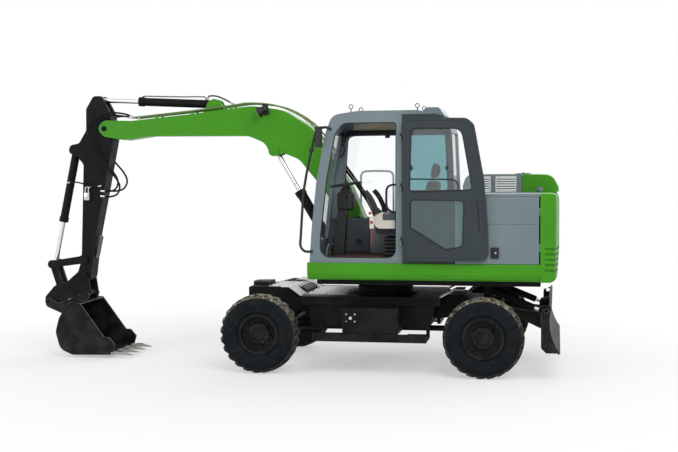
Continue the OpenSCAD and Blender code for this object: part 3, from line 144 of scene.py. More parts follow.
class Graph:
    """Node tree of one material or world, with short calls to add nodes."""

    def __init__(self, owner: bpy.types.ID, output: str = "ShaderNodeOutputMaterial") -> None:
        """Starts an empty node tree.

        Args:
            owner: Material or world that holds the tree.
            output: Type of its output node.
        """
        owner.use_nodes = True
        self.tree = owner.node_tree
        self.tree.nodes.clear()
        self.output = self.tree.nodes.new(output)

    def feed(self, node: Node, socket: str | int, value: Socket | Colour | float) -> None:
        """Links an input of a node, or sets it.

        Args:
            node: Node that takes the value.
            socket: Name or number of the input.
            value: Socket, colour or number.
        """
        if isinstance(value, Socket):
            self.tree.links.new(value, node.inputs[socket])
        else:
            node.inputs[socket].default_value = (*value, 1.0) if isinstance(value, tuple) else value

    def add(self, kind: str, *inputs: Socket | Colour | float, **values: object) -> Node:
        """Adds a node.

        Args:
            kind: Node type.
            inputs: Its first inputs in order.
            values: Other inputs, with _ for spaces, and properties by name.

        Returns:
            The new node.
        """
        node = self.tree.nodes.new(kind)
        for number, value in enumerate(inputs):
            self.feed(node, number, value)
        for key, value in values.items():
            socket = key.replace("_", " ")
            if socket in node.inputs:
                self.feed(node, socket, value)
            else:
                setattr(node, key, value)
        return node

    def placed(self, kind: str, **values: object) -> Node:
        """Adds a node that reads the object's own coordinates."""
        return self.add(kind, Vector=self.add("ShaderNodeTexCoord").outputs["Object"], **values)

    def along(self, axis: str) -> Socket:
        """Gives the place along the axis X, Y or Z of the shared frame, in metres."""
        return self.placed("ShaderNodeSeparateXYZ").outputs[axis]

    def noise(self, grain: Grain) -> Socket:
        """Adds noise of a scale per metre and a number of octaves."""
        return self.placed("ShaderNodeTexNoise", Scale=grain[0], Detail=grain[1]).outputs["Fac"]

    def ramp(self, source: Socket, span: Range, ends: Range) -> Socket:
        """Maps a range of values to another, with the ends held."""
        limits = {"From_Min": span[0], "From_Max": span[1], "To_Min": ends[0], "To_Max": ends[1]}
        return self.add("ShaderNodeMapRange", source, **limits).outputs["Result"]

    def patches(self, grain: Grain, span: Range, ends: Range = FULL) -> Socket:
        """Maps noise to a range of values."""
        return self.ramp(self.noise(grain), span, ends)

    def math(self, operation: str, a: Socket, b: Socket | float = 0.0) -> Socket:
        """Joins two values with one operation."""
        return self.add("ShaderNodeMath", a, b, operation=operation).outputs[0]

    def times(self, a: Socket, b: Socket | float) -> Socket:
        """Multiplies two values."""
        return self.math("MULTIPLY", a, b)

    def mix(self, share: Socket, a: Socket | Colour, b: Socket | Colour) -> Socket:
        """Mixes two colours.

        Args:
            share: Share of the second colour.
            a: First colour.
            b: Second colour.

        Returns:
            Socket with the mixed colour.
        """
        node = self.add("ShaderNodeMix", share, data_type="RGBA")
        for number, value in ((6, a), (7, b)):
            self.feed(node, number, value)
        return node.outputs[2]

    def inside(self, low: Point, high: Point) -> Socket:
        """Gives 1 inside a box of the shared frame, and 0 outside it.

        Args:
            low: Lowest corner in metres.
            high: Highest corner in metres.

        Returns:
            Socket with 0 or 1.
        """
        sides = []
        for axis, start, end in zip("XYZ", low, high):
            place = self.along(axis)
            sides.append(self.times(self.math("GREATER_THAN", place, start), self.math("LESS_THAN", place, end)))
        return self.times(self.times(sides[0], sides[1]), sides[2])

    def edges(self, radius: float) -> Socket:
        """Gives a value that rises at sharp edges.

        Args:
            radius: Reach of the edge in metres.

        Returns:
            Socket that is 0 on flat faces and near 1 at edges.
        """
        nodes = self.add("ShaderNodeBevel", samples=4, Radius=radius), self.add("ShaderNodeNewGeometry")
        dot = self.add("ShaderNodeVectorMath", *(node.outputs["Normal"] for node in nodes), operation="DOT_PRODUCT")
        return self.ramp(dot.outputs["Value"], (0.99, 0.86), FULL)

    def seen(self) -> Socket:
        """Gives 1 on what the camera sees straight on, in a mirror or through glass.

        Returns:
            Socket with 0 or 1.
        """
        path = self.add("ShaderNodeLightPath").outputs
        straight = self.math("MAXIMUM", path["Is Camera Ray"], path["Is Glossy Ray"])
        return self.math("MAXIMUM", straight, path["Is Transmission Ray"])

    def bump(self, source: Socket, strength: float, depth: float) -> Socket:
        """Gives the normals of a bump with a strength, and a depth in metres."""
        return self.add("ShaderNodeBump", Height=source, Strength=strength, Distance=depth).outputs["Normal"]

    def surface(self, colour: Socket, **values: Socket | float) -> Socket:
        """Adds the surface shader and joins it to the output.

        Args:
            colour: Colour of the surface.
            values: Other inputs of the shader, with _ for spaces.

        Returns:
            The shader's output.
        """
        surface = self.add("ShaderNodeBsdfPrincipled", colour, **values).outputs["BSDF"]
        self.feed(self.output, "Surface", surface)
        return surface


@dataclass(frozen=True)
class Finish:
    """Named finish, made from shader nodes."""

    name: str
    colour: Colour

    def build(self) -> bpy.types.Material:
        """Makes the material.

        Returns:
            The material.
        """
        material = bpy.data.materials.new(self.name)
        self.shade(Graph(material))
        return material

    def shade(self, graph: Graph) -> None:
        """Adds the nodes of the finish to a material's tree."""
        raise NotImplementedError


@dataclass(frozen=True)
class Paint(Finish):
    """Sprayed paint with slight unevenness, dust low down and wear at the edges."""

    roughness: float = 0.34
    coat: float = 0.35
    dust: float = 0.10
    wear: float = 0.0
    wear_colour: Colour = (0.30, 0.29, 0.27)
    gloss: float = 0.3
    second: Colour | None = None
    box: Box = ((0.0, 0.0, 0.0), (0.0, 0.0, 0.0))
    dust_colour: Colour = (0.36, 0.33, 0.28)
    dust_heights: Range = (0.25, 1.25)
    edge: float = 0.006
    clouds: Grain = (1.7, 5.0)
    dirt: Grain = (6.0, 8.0)
    rubs: Grain = (24.0, 6.0)
    mottle: Grain = (9.0, 6.0)
    peel: Grain = (260.0, 2.0)

    def shade(self, graph: Graph) -> None:
        """Adds the nodes: colour, second colour in a box, dust, worn edges and orange peel.

        Args:
            graph: Node tree of the material.
        """
        colour = graph.mix(graph.patches(self.clouds, MOST), scaled(self.colour, 0.90), scaled(self.colour, 1.07))
        if self.second is not None:
            colour = graph.mix(graph.inside(*self.box), colour, self.second)
        low = graph.ramp(graph.along("Z"), self.dust_heights, (1.0, 0.15))
        dusty = graph.patches(self.dirt, (0.42, 0.72), (0.0, self.dust))
        colour = graph.mix(graph.times(low, dusty), colour, self.dust_colour)
        if self.wear > 0:
            rubbed = graph.patches(self.rubs, HALF, (0.0, self.wear))
            colour = graph.mix(graph.times(graph.edges(self.edge), rubbed), colour, self.wear_colour)
        rough = graph.patches(self.mottle, MOST, (self.roughness - 0.05, self.roughness + 0.09))
        normal = graph.bump(graph.noise(self.peel), 0.05, 0.0006)
        coat = {"Coat_Weight": self.coat, "Coat_Roughness": 0.2}
        graph.surface(colour, Roughness=rough, Normal=normal, Specular_IOR_Level=self.gloss, **coat)


@dataclass(frozen=True)
class Rubber(Finish):
    """Matt rubber with dust and fine grain, and dried mud on the tread of the wheels, lighter towards the top of each
    tyre as painted light.
    """

    dust: float = 0.25
    mud: float = 0.0
    dust_colour: Colour = (0.13, 0.125, 0.115)
    mud_colour: Colour = (0.42, 0.38, 0.29)
    painted_top_light_heights: Range = (0.525, 0.785)
    axle_middle: float = -1.06
    axle_reach: float = 1.2
    axle_z: float = 0.425
    tread: Range = (0.386, 0.398)
    clouds: Grain = (3.0, 4.0)
    dirt: Grain = (14.0, 8.0)
    clods: Grain = (34.0, 6.0)
    mottle: Grain = (20.0, 4.0)
    grain: Grain = (420.0, 3.0)

    def shade(self, graph: Graph) -> None:
        """Adds the nodes: uneven black, dust, mud with a painted highlight on the top of the tread, and grain.

        Args:
            graph: Node tree of the material.
        """
        colour = graph.mix(graph.patches(self.clouds, MOST), self.colour, scaled(self.colour, 1.5))
        colour = graph.mix(graph.patches(self.dirt, (0.45, 0.75), (0.0, self.dust)), colour, self.dust_colour)
        if self.mud > 0:
            colour = graph.mix(self._mud_with_painted_top_light(graph), colour, self.mud_colour)
        rough = graph.patches(self.mottle, MOST, (0.55, 0.8))
        normal = graph.bump(graph.noise(self.grain), 0.18, 0.0008)
        graph.surface(colour, Roughness=rough, Normal=normal, Specular_IOR_Level=0.12)

    def _mud_with_painted_top_light(self, graph: Graph) -> Socket:
        """Finds the tread of the front and rear wheels. Dried mud lies all round the tread, and is stronger higher up
        as a painted highlight where light falls on the top of the tyre.

        Args:
            graph: Node tree of the material.

        Returns:
            Socket that is 0 on the side walls and up to 1 on the tread.
        """
        ahead = graph.math("ABSOLUTE", graph.math("SUBTRACT", graph.along("X"), self.axle_middle))
        ahead = graph.math("SUBTRACT", ahead, self.axle_reach)
        up = graph.math("SUBTRACT", graph.along("Z"), self.axle_z)
        square = graph.math("ADD", graph.times(ahead, ahead), graph.times(up, up))
        tread = graph.ramp(graph.math("POWER", square, 0.5), self.tread, FULL)
        # Painted light: the mud grows towards the top of the tyre, where light falls, and thins low down, where the
        # tread is in shade.
        high = graph.ramp(graph.along("Z"), self.painted_top_light_heights, (0.22, 1.0))
        return graph.times(tread, graph.times(graph.patches(self.clods, HALF, (0.0, self.mud)), high))


@dataclass(frozen=True)
class Metal(Finish):
    """Bare, cast or plated metal with stains."""

    roughness: Range = (0.35, 0.60)
    metallic: float = 1.0
    relief: float = 0.05
    stain_factor: float = 0.45
    stain: float = 0.6
    stains: Grain = (18.0, 7.0)
    stain_span: Range = (0.4, 0.75)
    mottle: Grain = (40.0, 4.0)
    grain: Grain = (180.0, 5.0)
    depth: float = 0.0008
    stain_colour: Colour | None = None

    def shade(self, graph: Graph) -> None:
        """Adds the nodes: stains, uneven polish and grain.

        Args:
            graph: Node tree of the material.
        """
        dull = self.stain_colour or scaled(self.colour, self.stain_factor)
        colour = graph.mix(graph.patches(self.stains, self.stain_span, (0.0, self.stain)), self.colour, dull)
        rough = graph.patches(self.mottle, MOST, self.roughness)
        normal = graph.bump(graph.noise(self.grain), self.relief, self.depth)
        graph.surface(colour, Roughness=rough, Normal=normal, Metallic=self.metallic)


@dataclass(frozen=True)
class Plastic(Finish):
    """Moulded plastic or rubber with a fine leather grain."""

    roughness: float = 0.55
    relief: float = 0.12
    clouds: Grain = (5.0, 5.0)
    mottle: Grain = (50.0, 4.0)
    cells: float = 520.0

    def shade(self, graph: Graph) -> None:
        """Adds the nodes: shade, roughness and leather grain.

        Args:
            graph: Node tree of the material.
        """
        colour = graph.mix(graph.patches(self.clouds, MOST), scaled(self.colour, 0.88), scaled(self.colour, 1.1))
        rough = graph.patches(self.mottle, MOST, (self.roughness - 0.07, self.roughness + 0.1))
        leather = graph.placed("ShaderNodeTexVoronoi", Scale=self.cells).outputs["Distance"]
        normal = graph.bump(leather, self.relief, 0.0006)
        graph.surface(colour, Roughness=rough, Normal=normal, Specular_IOR_Level=0.4)


@dataclass(frozen=True)
class Cloth(Finish):
    """Woven cloth with sheen."""

    threads: float = 900.0
    fading: Grain = (7.0, 5.0)

    def shade(self, graph: Graph) -> None:
        """Adds the nodes: weave, faded patches and sheen.

        Args:
            graph: Node tree of the material.
        """
        bands = {"wave_type": "BANDS", "Scale": self.threads / 6.28, "Distortion": 0.6}
        waves = [graph.placed("ShaderNodeTexWave", bands_direction=axis, **bands).outputs["Fac"] for axis in "XYZ"]
        weave = graph.math("MAXIMUM", graph.times(waves[0], waves[1]), graph.times(waves[2], 0.8))
        colour = graph.mix(weave, scaled(self.colour, 0.6), scaled(self.colour, 1.3))
        faded = graph.patches(self.fading, (0.35, 0.7), (0.0, 0.3))
        colour = graph.mix(faded, colour, scaled(self.colour, 1.8))
        look = {"Sheen_Weight": 0.35, "Sheen_Roughness": 0.5, "Specular_IOR_Level": 0.2}
        rough = graph.ramp(weave, FULL, (0.95, 0.75))
        graph.surface(colour, Roughness=rough, Normal=graph.bump(weave, 0.4, 0.0008), **look)


@dataclass(frozen=True)
class Pane(Finish):
    """Safety glass with a trace of dust, and another tint in a box."""

    tint: Colour
    tint_box: Box = ((-9.0, 0.9, 0.0), (9.0, 2.0, 9.0))
    index: float = 1.45
    film: Grain = (5.0, 7.0)
    smear: Grain = (12.0, 6.0)

    def shade(self, graph: Graph) -> None:
        """Adds the nodes: film, tint and clear glass.

        Args:
            graph: Node tree of the material.
        """
        colour = graph.mix(graph.patches(self.film, (0.45, 0.8), (0.0, 0.12)), self.colour, scaled(self.colour, 0.92))
        colour = graph.mix(graph.inside(*self.tint_box), colour, self.tint)
        rough = graph.patches(self.smear, (0.4, 0.8), (0.0, 0.06))
        graph.surface(colour, Roughness=rough, Transmission_Weight=1.0, IOR=self.index)


class Coat(Enum):
    """Finishes of the machine by their material slot."""

    GREEN = Paint("green_paint", (0.045, 0.262, 0.003), 0.38, 0.08, 0.03, gloss=0.22)
    GREY = Paint("grey_paint", (0.148, 0.194, 0.212), 0.40, 0.08, 0.04)
    CAB = Paint(
        "cab_paint", (0.148, 0.194, 0.212), 0.40, 0.08, 0.04,
        second=(0.026, 0.036, 0.041), box=((-2.2, 0.93, 1.0), (-1.42, 1.1, 2.757)),
    )
    DARK_GREY = Paint("dark_grey_paint", (0.026, 0.036, 0.041), 0.45, 0.04, 0.05, gloss=0.25)
    # Near-white paint. On the deck plates it paints in the bright sky reflected by their bare metal. On the fender
    # plates and the hood grilles it is painted light: brighter than their own light grey, to make up for the shade
    # they lie in.
    PALE_PAINTED_LIGHT = Paint("deck_plate", (0.80, 0.81, 0.80), 0.42, 0.0, 0.10, 0.2)
    LIGHT_GREY = Paint("light_grey_paint", (0.44, 0.46, 0.47), 0.45, 0.1, 0.12)
    BLACK = Paint("black_paint", (0.0042, 0.0052, 0.0056), 0.52, 0.0, 0.04, 0.2, gloss=0.11)
    BUCKET = Paint(
        "worn_black_paint", (0.0062, 0.0070, 0.0072), 0.50, 0.0, 0.07, 0.9, (0.34, 0.33, 0.31), gloss=0.13,
        second=(0.36, 0.35, 0.33), box=((1.75, -0.6, -0.1), (2.10, 0.6, 0.075)),
    )
    RIM = Paint("rim_paint", (0.0050, 0.0060, 0.0066), 0.50, 0.0, 0.05, 0.2, gloss=0.12)
    TYRE = Rubber("tyre_rubber", (0.0032, 0.0048, 0.0064), 0.05, 0.85)
    CHROME = Metal(
        "chrome_rod", (0.72, 0.74, 0.76), (0.20, 0.34), relief=0.02, stain=0.25, stains=(30.0, 5.0),
        stain_span=(0.4, 0.7), mottle=(70.0, 3.0), grain=(900.0, 2.0), depth=0.0003, stain_colour=(0.32, 0.31, 0.29),
    )
    ENGINE = Metal("engine_metal", (0.12, 0.12, 0.12), metallic=0.9, relief=0.15)
    GLASS = Pane("tinted_glass", (0.93, 0.985, 0.98), (0.70, 0.97, 0.94), ((-9.0, 0.9, 0.0), (9.0, 2.0, 1.9)), 1.6)
    CAB_GLASS = Pane("cab_glass", (0.965, 0.99, 0.988), (0.11, 0.31, 0.34))
    SEAT = Cloth("seat_cloth", (0.030, 0.033, 0.037))
    CONSOLE = Plastic("console_plastic", (0.50, 0.48, 0.42))
    PLASTIC = Plastic("dark_plastic", (0.007, 0.008, 0.009))
    BOOM_PIPE = Paint("boom_pipe_paint", (0.105, 0.200, 0.045), 0.38, 0.08, 0.06, 0.2)
    PIPE = Paint("pipe_metal", (0.15, 0.145, 0.13), 0.35, 0.1, 0.05, 0.3)
    HOSE = Rubber("hose_rubber", (0.0050, 0.0055, 0.0060), 0.04)
    STEEL = Metal("bright_steel", (0.62, 0.61, 0.58), (0.20, 0.45))
    SEAL = Plastic("seal_rubber", (0.008, 0.008, 0.008), 0.6, 0.05)
    LENS = Paint("lamp_lens", (0.75, 0.76, 0.74), 0.12, 0.6, 0.0)
    MIRROR = Metal("mirror_face", (0.80, 0.83, 0.85), (0.02, 0.27), relief=0.0)
    MAT = Plastic("floor_mat", (0.060, 0.022, 0.018), 0.75, 0.3)
    LINER = Cloth("headliner_cloth", (0.46, 0.42, 0.35), 700.0)
    KNEE = Plastic("knee_panel", (0.040, 0.052, 0.062), 0.5, 0.1)
    RED = Plastic("red_plastic", (0.42, 0.016, 0.022), 0.4, 0.05)
    WHITE = Plastic("white_plastic", (0.62, 0.61, 0.57), 0.4, 0.05)


NODE_COATS = {
    "cab_frame": Coat.CAB, "cab_roof": Coat.CAB, "cab_glass": Coat.CAB_GLASS, "bucket": Coat.BUCKET,
    # The fender plates take the near-white paint as painted light: in their own light grey they read dark in the shade
    # under the upper structure.
    "blade": Coat.BUCKET, "fender_plates": Coat.PALE_PAINTED_LIGHT, "boom_pipes": Coat.BOOM_PIPE,
}


class Workshop:
    """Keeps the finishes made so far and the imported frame."""

    def __init__(self) -> None:
        """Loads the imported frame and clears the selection."""
        self.frame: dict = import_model()
        self.cad_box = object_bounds()
        self.made: dict[Coat, bpy.types.Material] = {}
        bpy.ops.object.select_all(action="DESELECT")

    def finish(self, coat: Coat) -> bpy.types.Material:
        """Gives a finish, made once.

        Args:
            coat: Which finish.

        Returns:
            Its material.
        """
        if coat not in self.made:
            self.made[coat] = coat.value.build()
        return self.made[coat]

    def dress_solids(self) -> None:
        """Puts each solid's finish on it, by its slot in the record."""
        by_slot = {coat.value.name: coat for coat in Coat}
        for row in self.frame["record"]["subparts"]:
            solid = self.frame["nodes"][row["node"]]
            solid.data.materials.clear()
            coat = NODE_COATS.get(row["node"], by_slot[row["material_slot"]])
            solid.data.materials.append(self.finish(coat))

    def coat(self, piece: Piece, coat: Coat) -> None:
        """Gives a new piece its finish.

        Args:
            piece: Finished mesh.
            coat: Its finish.
        """
        piece.data.materials.clear()
        piece.data.materials.append(self.finish(coat))

    def put(self, piece: Piece, coat: Coat, body: str) -> Piece:
        """Gives a new piece its finish and the body it moves with.

        Args:
            piece: Finished mesh.
            coat: Its finish.
            body: Body that carries it.

        Returns:
            The same piece.
        """
        self.coat(piece, coat)
        LOG.info("%s rides on %s", piece.name, body)
        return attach(piece, body)


@dataclass(frozen=True)
class PhotoCamera:
    """Camera at the photograph's place and angle."""

    place: Point = (-3.0068, 12.7271, 2.198)
    yaw_deg: float = 10.8673
    pitch_deg: float = 2.9058
    roll_deg: float = -0.3954
    lens_mm: float = 60.32
    sensor_mm: float = 36.0
    far: float = 200.0

    def build(self) -> None:
        """Makes the camera the scene's own."""
        camera = bpy.data.cameras.new("photo_camera")
        camera.lens = self.lens_mm
        camera.sensor_width = self.sensor_mm
        camera.sensor_fit = "HORIZONTAL"
        camera.clip_end = self.far
        rig = bpy.data.objects.new("photo_camera", camera)
        bpy.context.scene.collection.objects.link(rig)
        rig.matrix_world = Matrix.Translation(self.place)
        for degrees, axis in ((180.0 + self.yaw_deg, "Z"), (90.0 - self.pitch_deg, "X"), (self.roll_deg, "Z")):
            rig.matrix_world @= Matrix.Rotation(math.radians(degrees), 4, axis)
        bpy.context.scene.camera = rig


@dataclass(frozen=True)
class Studio:
    """Plain pale floor, white surroundings and soft lamps."""

    floor_size: float = 80.0
    floor_z: float = -0.002
    floor_grain: Grain = (0.6, 4.0)
    fade: Range = (2.2, 5.2)
    sky: float = 0.52
    target: Point = (-0.3, 0.0, 1.3)
    lamp_size: float = 6.0
    lamps: tuple[tuple[str, Point, float], ...] = (
        ("key", (-5.5, 8.5, 8.0), 620.0), ("fill", (7.5, 6.5, 5.0), 260.0), ("back", (-2.0, -9.0, 7.0), 260.0),
    )

    def build(self) -> None:
        """Makes the floor, the world and the lamps."""
        bpy.context.scene.view_settings.view_transform = "Standard"
        self._world()
        self._floor()
        for name, place, watts in self.lamps:
            self._lamp(name, Vector(place), watts)

    def _world(self) -> None:
        """Makes surroundings that look white and light the machine plainly."""
        world = bpy.data.worlds.new("studio")
        bpy.context.scene.world = world
        graph = Graph(world, "ShaderNodeOutputWorld")
        strength = graph.ramp(graph.seen(), FULL, (self.sky, 1.0))
        shade = graph.add("ShaderNodeBackground", (1.0, 1.0, 1.0), strength)
        graph.feed(graph.output, "Surface", shade.outputs["Background"])

    def _floor(self) -> None:
        """Makes the pale floor, which keeps the machine's shadow and fades to white further off."""
        bpy.ops.mesh.primitive_plane_add(size=self.floor_size, location=(0.0, 0.0, self.floor_z))
        floor = bpy.context.active_object
        floor.name = "studio_floor"
        material = bpy.data.materials.new("pale_floor")
        graph = Graph(material)
        colour = graph.mix(graph.patches(self.floor_grain, MOST), (0.90, 0.90, 0.90), (0.92, 0.92, 0.92))
        pale = graph.surface(colour, Roughness=0.9, Specular_IOR_Level=0.1)
        white = graph.add("ShaderNodeEmission", Strength=1.0).outputs["Emission"]
        reach = graph.placed("ShaderNodeVectorMath", operation="LENGTH").outputs["Value"]
        share = graph.times(graph.ramp(reach, self.fade, (0.45, 1.0)), graph.seen())
        mix = graph.add("ShaderNodeMixShader", share, pale, white)
        graph.feed(graph.output, "Surface", mix.outputs["Shader"])
        floor.data.materials.append(material)
        floor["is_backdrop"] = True

    def _lamp(self, name: str, place: Vector, watts: float) -> None:
        """Makes one soft area lamp that points at the machine.

        Args:
            name: Name of the lamp.
            place: Where it hangs.
            watts: Its power.
        """
        lamp = bpy.data.lights.new(name, "AREA")
        lamp.energy = watts
        lamp.size = self.lamp_size
        rig = bpy.data.objects.new(name, lamp)
        bpy.context.scene.collection.objects.link(rig)
        turn = (Vector(self.target) - place).to_track_quat("-Z", "Y").to_matrix().to_4x4()
        rig.matrix_world = Matrix.Translation(place) @ turn


def only(piece: Piece) -> None:
    """Selects one piece alone and makes it active.

    Args:
        piece: Piece to select.
    """
    bpy.ops.object.select_all(action="DESELECT")
    piece.select_set(True)
    bpy.context.view_layer.objects.active = piece


def settle(piece: Piece, name: str, angle_deg: float = 30.0) -> Piece:
    """Names a piece, puts its place into its mesh and smooths it.

    Args:
        piece: Finished piece.
        name: Its name.
        angle_deg: Edges sharper than this stay sharp.

    Returns:
        The same piece.
    """
    only(piece)
    piece.name = name
    piece.data.name = name
    bpy.ops.object.transform_apply(location=True, rotation=True, scale=True)
    bpy.ops.object.shade_smooth_by_angle(angle=math.radians(angle_deg))
    return piece


def bevel(piece: Piece, width: float, segments: int) -> Piece:
    """Rounds the edges of a piece.

    Args:
        piece: Piece to round.
        width: Width of the bevel in metres.
        segments: Steps across the bevel.

    Returns:
        The same piece.
    """
    only(piece)
    bpy.ops.object.transform_apply(location=False, rotation=False, scale=True)
    rounding = piece.modifiers.new("rounding", "BEVEL")
    rounding.width = width
    rounding.segments = segments
    rounding.limit_method = "ANGLE"
    bpy.ops.object.modifier_apply(modifier=rounding.name)
    return piece


def block(low: Point, high: Point, width: float, segments: int) -> Piece:
    """Makes a block with rounded edges to work on.

    Args:
        low: Lowest corner.
        high: Highest corner.
        width: Width of the bevel.
        segments: Steps across the bevel.

    Returns:
        The block.
    """
    start, end = machine_point(*low), machine_point(*high)
    bpy.ops.mesh.primitive_cube_add(size=1.0, location=(start + end) / 2, scale=end - start)
    return bevel(bpy.context.active_object, width, segments)


def cylinder(sides: int, radius: float, depth: float, middle: float) -> Piece:
    """Makes an upright cylinder to work on.

    Args:
        sides: Number of its sides.
        radius: Its radius.
        depth: Its height.
        middle: Height of its middle.

    Returns:
        The cylinder.
    """
    bpy.ops.mesh.primitive_cylinder_add(vertices=sides, radius=radius, depth=depth, location=(0.0, 0.0, middle))
    return bpy.context.active_object


def join(first: Piece, second: Piece) -> Piece:
    """Joins a second piece to a first one.

    Args:
        first: Piece that stays.
        second: Piece that is used up.

    Returns:
        The first piece.
    """
    only(first)
    second.select_set(True)
    bpy.ops.object.join()
    return first


def sink(piece: Piece, axis: Point, border: float, depth: float) -> None:
    """Sinks or raises the middle of the largest face that looks along an axis.

    Args:
        piece: Piece to work on.
        axis: Way that the face looks.
        border: Width of the border that stays.
        depth: How far the middle goes in, or out where it is negative.
    """
    only(piece)
    bpy.ops.object.mode_set(mode="EDIT")
    bpy.ops.mesh.select_all(action="DESELECT")
    bpy.ops.object.mode_set(mode="OBJECT")
    looking = [face for face in piece.data.polygons if face.normal.dot(Vector(axis)) > 0.98]
    max(looking, key=lambda face: face.area).select = True
    bpy.ops.object.mode_set(mode="EDIT")
    bpy.ops.mesh.select_mode(type="FACE")
    bpy.ops.mesh.inset(thickness=border, depth=0.0)
    bpy.ops.mesh.inset(thickness=0.5 * abs(depth), depth=-depth)
    bpy.ops.object.mode_set(mode="OBJECT")
    bpy.ops.object.shade_smooth_by_angle(angle=math.radians(30.0))


def bolt(radius: float, height: float) -> Piece:
    """Makes a hexagon bolt head on its washer, standing on the origin along Z.

    Args:
        radius: Radius over the corners.
        height: Height of the head.

    Returns:
        The bolt.
    """
    head = bevel(cylinder(6, radius, height, 0.5 * height), 0.12 * radius, 1)
    washer = cylinder(16, 1.35 * radius, 0.25 * height, 0.125 * height)
    return settle(join(head, bevel(washer, 0.06 * radius, 1)), "bolt")


def spread(model: Piece, places: list[Matrix], name: str) -> Piece:
    """Copies a model to every place and joins the copies.

    Args:
        model: Piece to copy, at the origin. It is used up.
        places: Where the copies stand.
        name: Name of the joined piece.

    Returns:
        The joined copies.
    """
    copies = []
    for place in places:
        copy = bpy.data.objects.new(name, model.data.copy())
        bpy.context.scene.collection.objects.link(copy)
        copy.matrix_world = place
        copies.append(copy)
    bpy.data.objects.remove(model)
    only(copies[0])
    for copy in copies:
        copy.select_set(True)
    bpy.ops.object.transform_apply(location=True, rotation=True, scale=True)
    bpy.ops.object.join()
    return settle(bpy.context.active_object, name)


def smooth_path(points: tuple[Point, ...], steps: int) -> list[Vector]:
    """Draws a smooth line through points.

    Args:
        points: Points on the line.
        steps: Steps from each point to the next.

    Returns:
        Close points along the line, in metres.
    """
    places = [machine_point(*point) for point in points]
    ends = [2 * places[0] - places[1], *places, 2 * places[-1] - places[-2]]
    path = []
    for a, b, c, d in zip(ends, ends[1:], ends[2:], ends[3:]):
        bend, twist = 2 * a - 5 * b + 4 * c - d, 3 * b - a - 3 * c + d
        for k in range(steps):
            t = k / steps
            path.append(0.5 * (2 * b + (c - a) * t + bend * t * t + twist * t * t * t))
    return [*path, places[-1]]


def outline(corners: tuple[Point, ...], y: float, steps: int = 6) -> list[Vector]:
    """Draws a closed outline with rounded corners on an upright plane.

    Args:
        corners: Corners as millimetres ahead, millimetres up and rounding radius.
        y: Millimetres to the left.
        steps: Steps round each corner.

    Returns:
        Points of the outline, in metres.
    """
    points = []
    for k, (x, z, radius) in enumerate(corners):
        here = Vector((x, z))
        before = Vector(corners[k - 1][:2])
        after = Vector(corners[(k + 1) % len(corners)][:2])
        u, v = (before - here).normalized(), (after - here).normalized()
        half = 0.5 * u.angle(v)
        cut = min(radius / math.tan(half), 0.48 * (before - here).length, 0.48 * (after - here).length)
        start, end = here + cut * u, here + cut * v
        for i in range(steps + 1):
            t = i / steps
            flat = (1 - t) ** 2 * start + 2 * t * (1 - t) * here + t * t * end
            points.append(machine_point(flat.x, y, flat.y))
    return points


def tube(name: str, path: list[Vector], radius: float, sides: int = 3, closed: bool = False) -> Piece:
    """Makes a round tube along a path.

    Args:
        name: Name of the piece.
        path: Points of its centre line.
        radius: Radius of the tube.
        sides: Fineness of its round section.
        closed: Whether its ends meet.

    Returns:
        The tube as a mesh.
    """
    line = bpy.data.curves.new(name, "CURVE")
    line.dimensions = "3D"
    line.bevel_depth = radius
    line.bevel_resolution = sides
    line.use_fill_caps = not closed
    spline = line.splines.new("POLY")
    spline.use_cyclic_u = closed
    spline.points.add(len(path) - 1)
    for point, place in zip(spline.points, path):
        point.co = (*place, 1.0)
    piece = bpy.data.objects.new(name, line)
    bpy.context.scene.collection.objects.link(piece)
    only(piece)
    bpy.ops.object.convert(target="MESH")
    return settle(bpy.context.active_object, name, 50.0)


@dataclass(frozen=True)
class Hose:
    """One hydraulic hose with its two crimped ends."""

    name: str
    points: tuple[Point, ...]
    radius: float
    from_body: str
    to_body: str
    start: Point
    end: Point
    steps: int = 8

    def build(self, shop: Workshop) -> None:
        """Makes the hose and its ends.

        Args:
            shop: Gives the finishes.
        """
        path = smooth_path(self.points, self.steps)
        hose = tube(self.name, path, self.radius)
        shop.coat(hose, Coat.HOSE)
        ends = [self._crimp(shop, path[0], path[1], "start", self.from_body)]
        ends.append(self._crimp(shop, path[-1], path[-2], "end", self.to_body))
        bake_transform(hose)

    def _crimp(self, shop: Workshop, tip: Vector, inner: Vector, side: str, body: str) -> Piece:
        """Makes the pressed metal sleeve and nut on an end of the hose.

        Args:
            shop: Gives the finishes.
            tip: End of the hose.
            inner: Next point along the hose.
            side: Word for the end.
            body: Body that the end is screwed into.

        Returns:
            The sleeve.
        """
        r = self.radius
        sleeve = bevel(cylinder(20, 1.22 * r, 3.6 * r, 2.6 * r), 0.2 * r, 2)
        nut = bevel(cylinder(6, 1.5 * r, 1.5 * r, 0.3 * r), 0.1 * r, 1)
        join(sleeve, nut)
        sleeve.matrix_world = Matrix.Translation(tip) @ facing((inner - tip).normalized()) @ sleeve.matrix_world
        return shop.put(settle(sleeve, f"{self.name}_{side}"), Coat.STEEL, body)


def mirrored(points: tuple[Point, ...]) -> tuple[Point, ...]:
    """Mirrors points to the other side of the arm."""
    return tuple((x, 2 * ARM_Y - y, z) for x, y, z in points)


STICK_LINE = (
    (2978, 48, 2809), (3090, 66, 2826), (3230, 98, 2838), (3372, 106, 2806), (3466, 108, 2712), (3478, 108, 2590),
    (3424, 108, 2440), (3322, 106, 2290), (3212, 98, 2165), (3166, 86, 2060), (3206, 70, 1972), (3300, 56, 1944),
    (3392, 50, 1950),
)
FOOT_LINE = (
    (150, 40, 1030), (132, 40, 1150), (108, 40, 1330), (104, 40, 1520), (150, 40, 1720), (270, 42, 1930),
    (408, 44, 2122), (540, 48, 2303), (611, 48, 2402),
)
FOOT_MIDDLE_Y = (-10, -10, -8, -4, 2, 10, 18, 26, 26)
STICK_ENDS = (0.011, "boom", "stick", (3339, 0, 2800), (3339, 0, 2300))
FOOT_ENDS = (0.013, "upper", "boom", (104, 0, 1400), (330, 0, 2000))


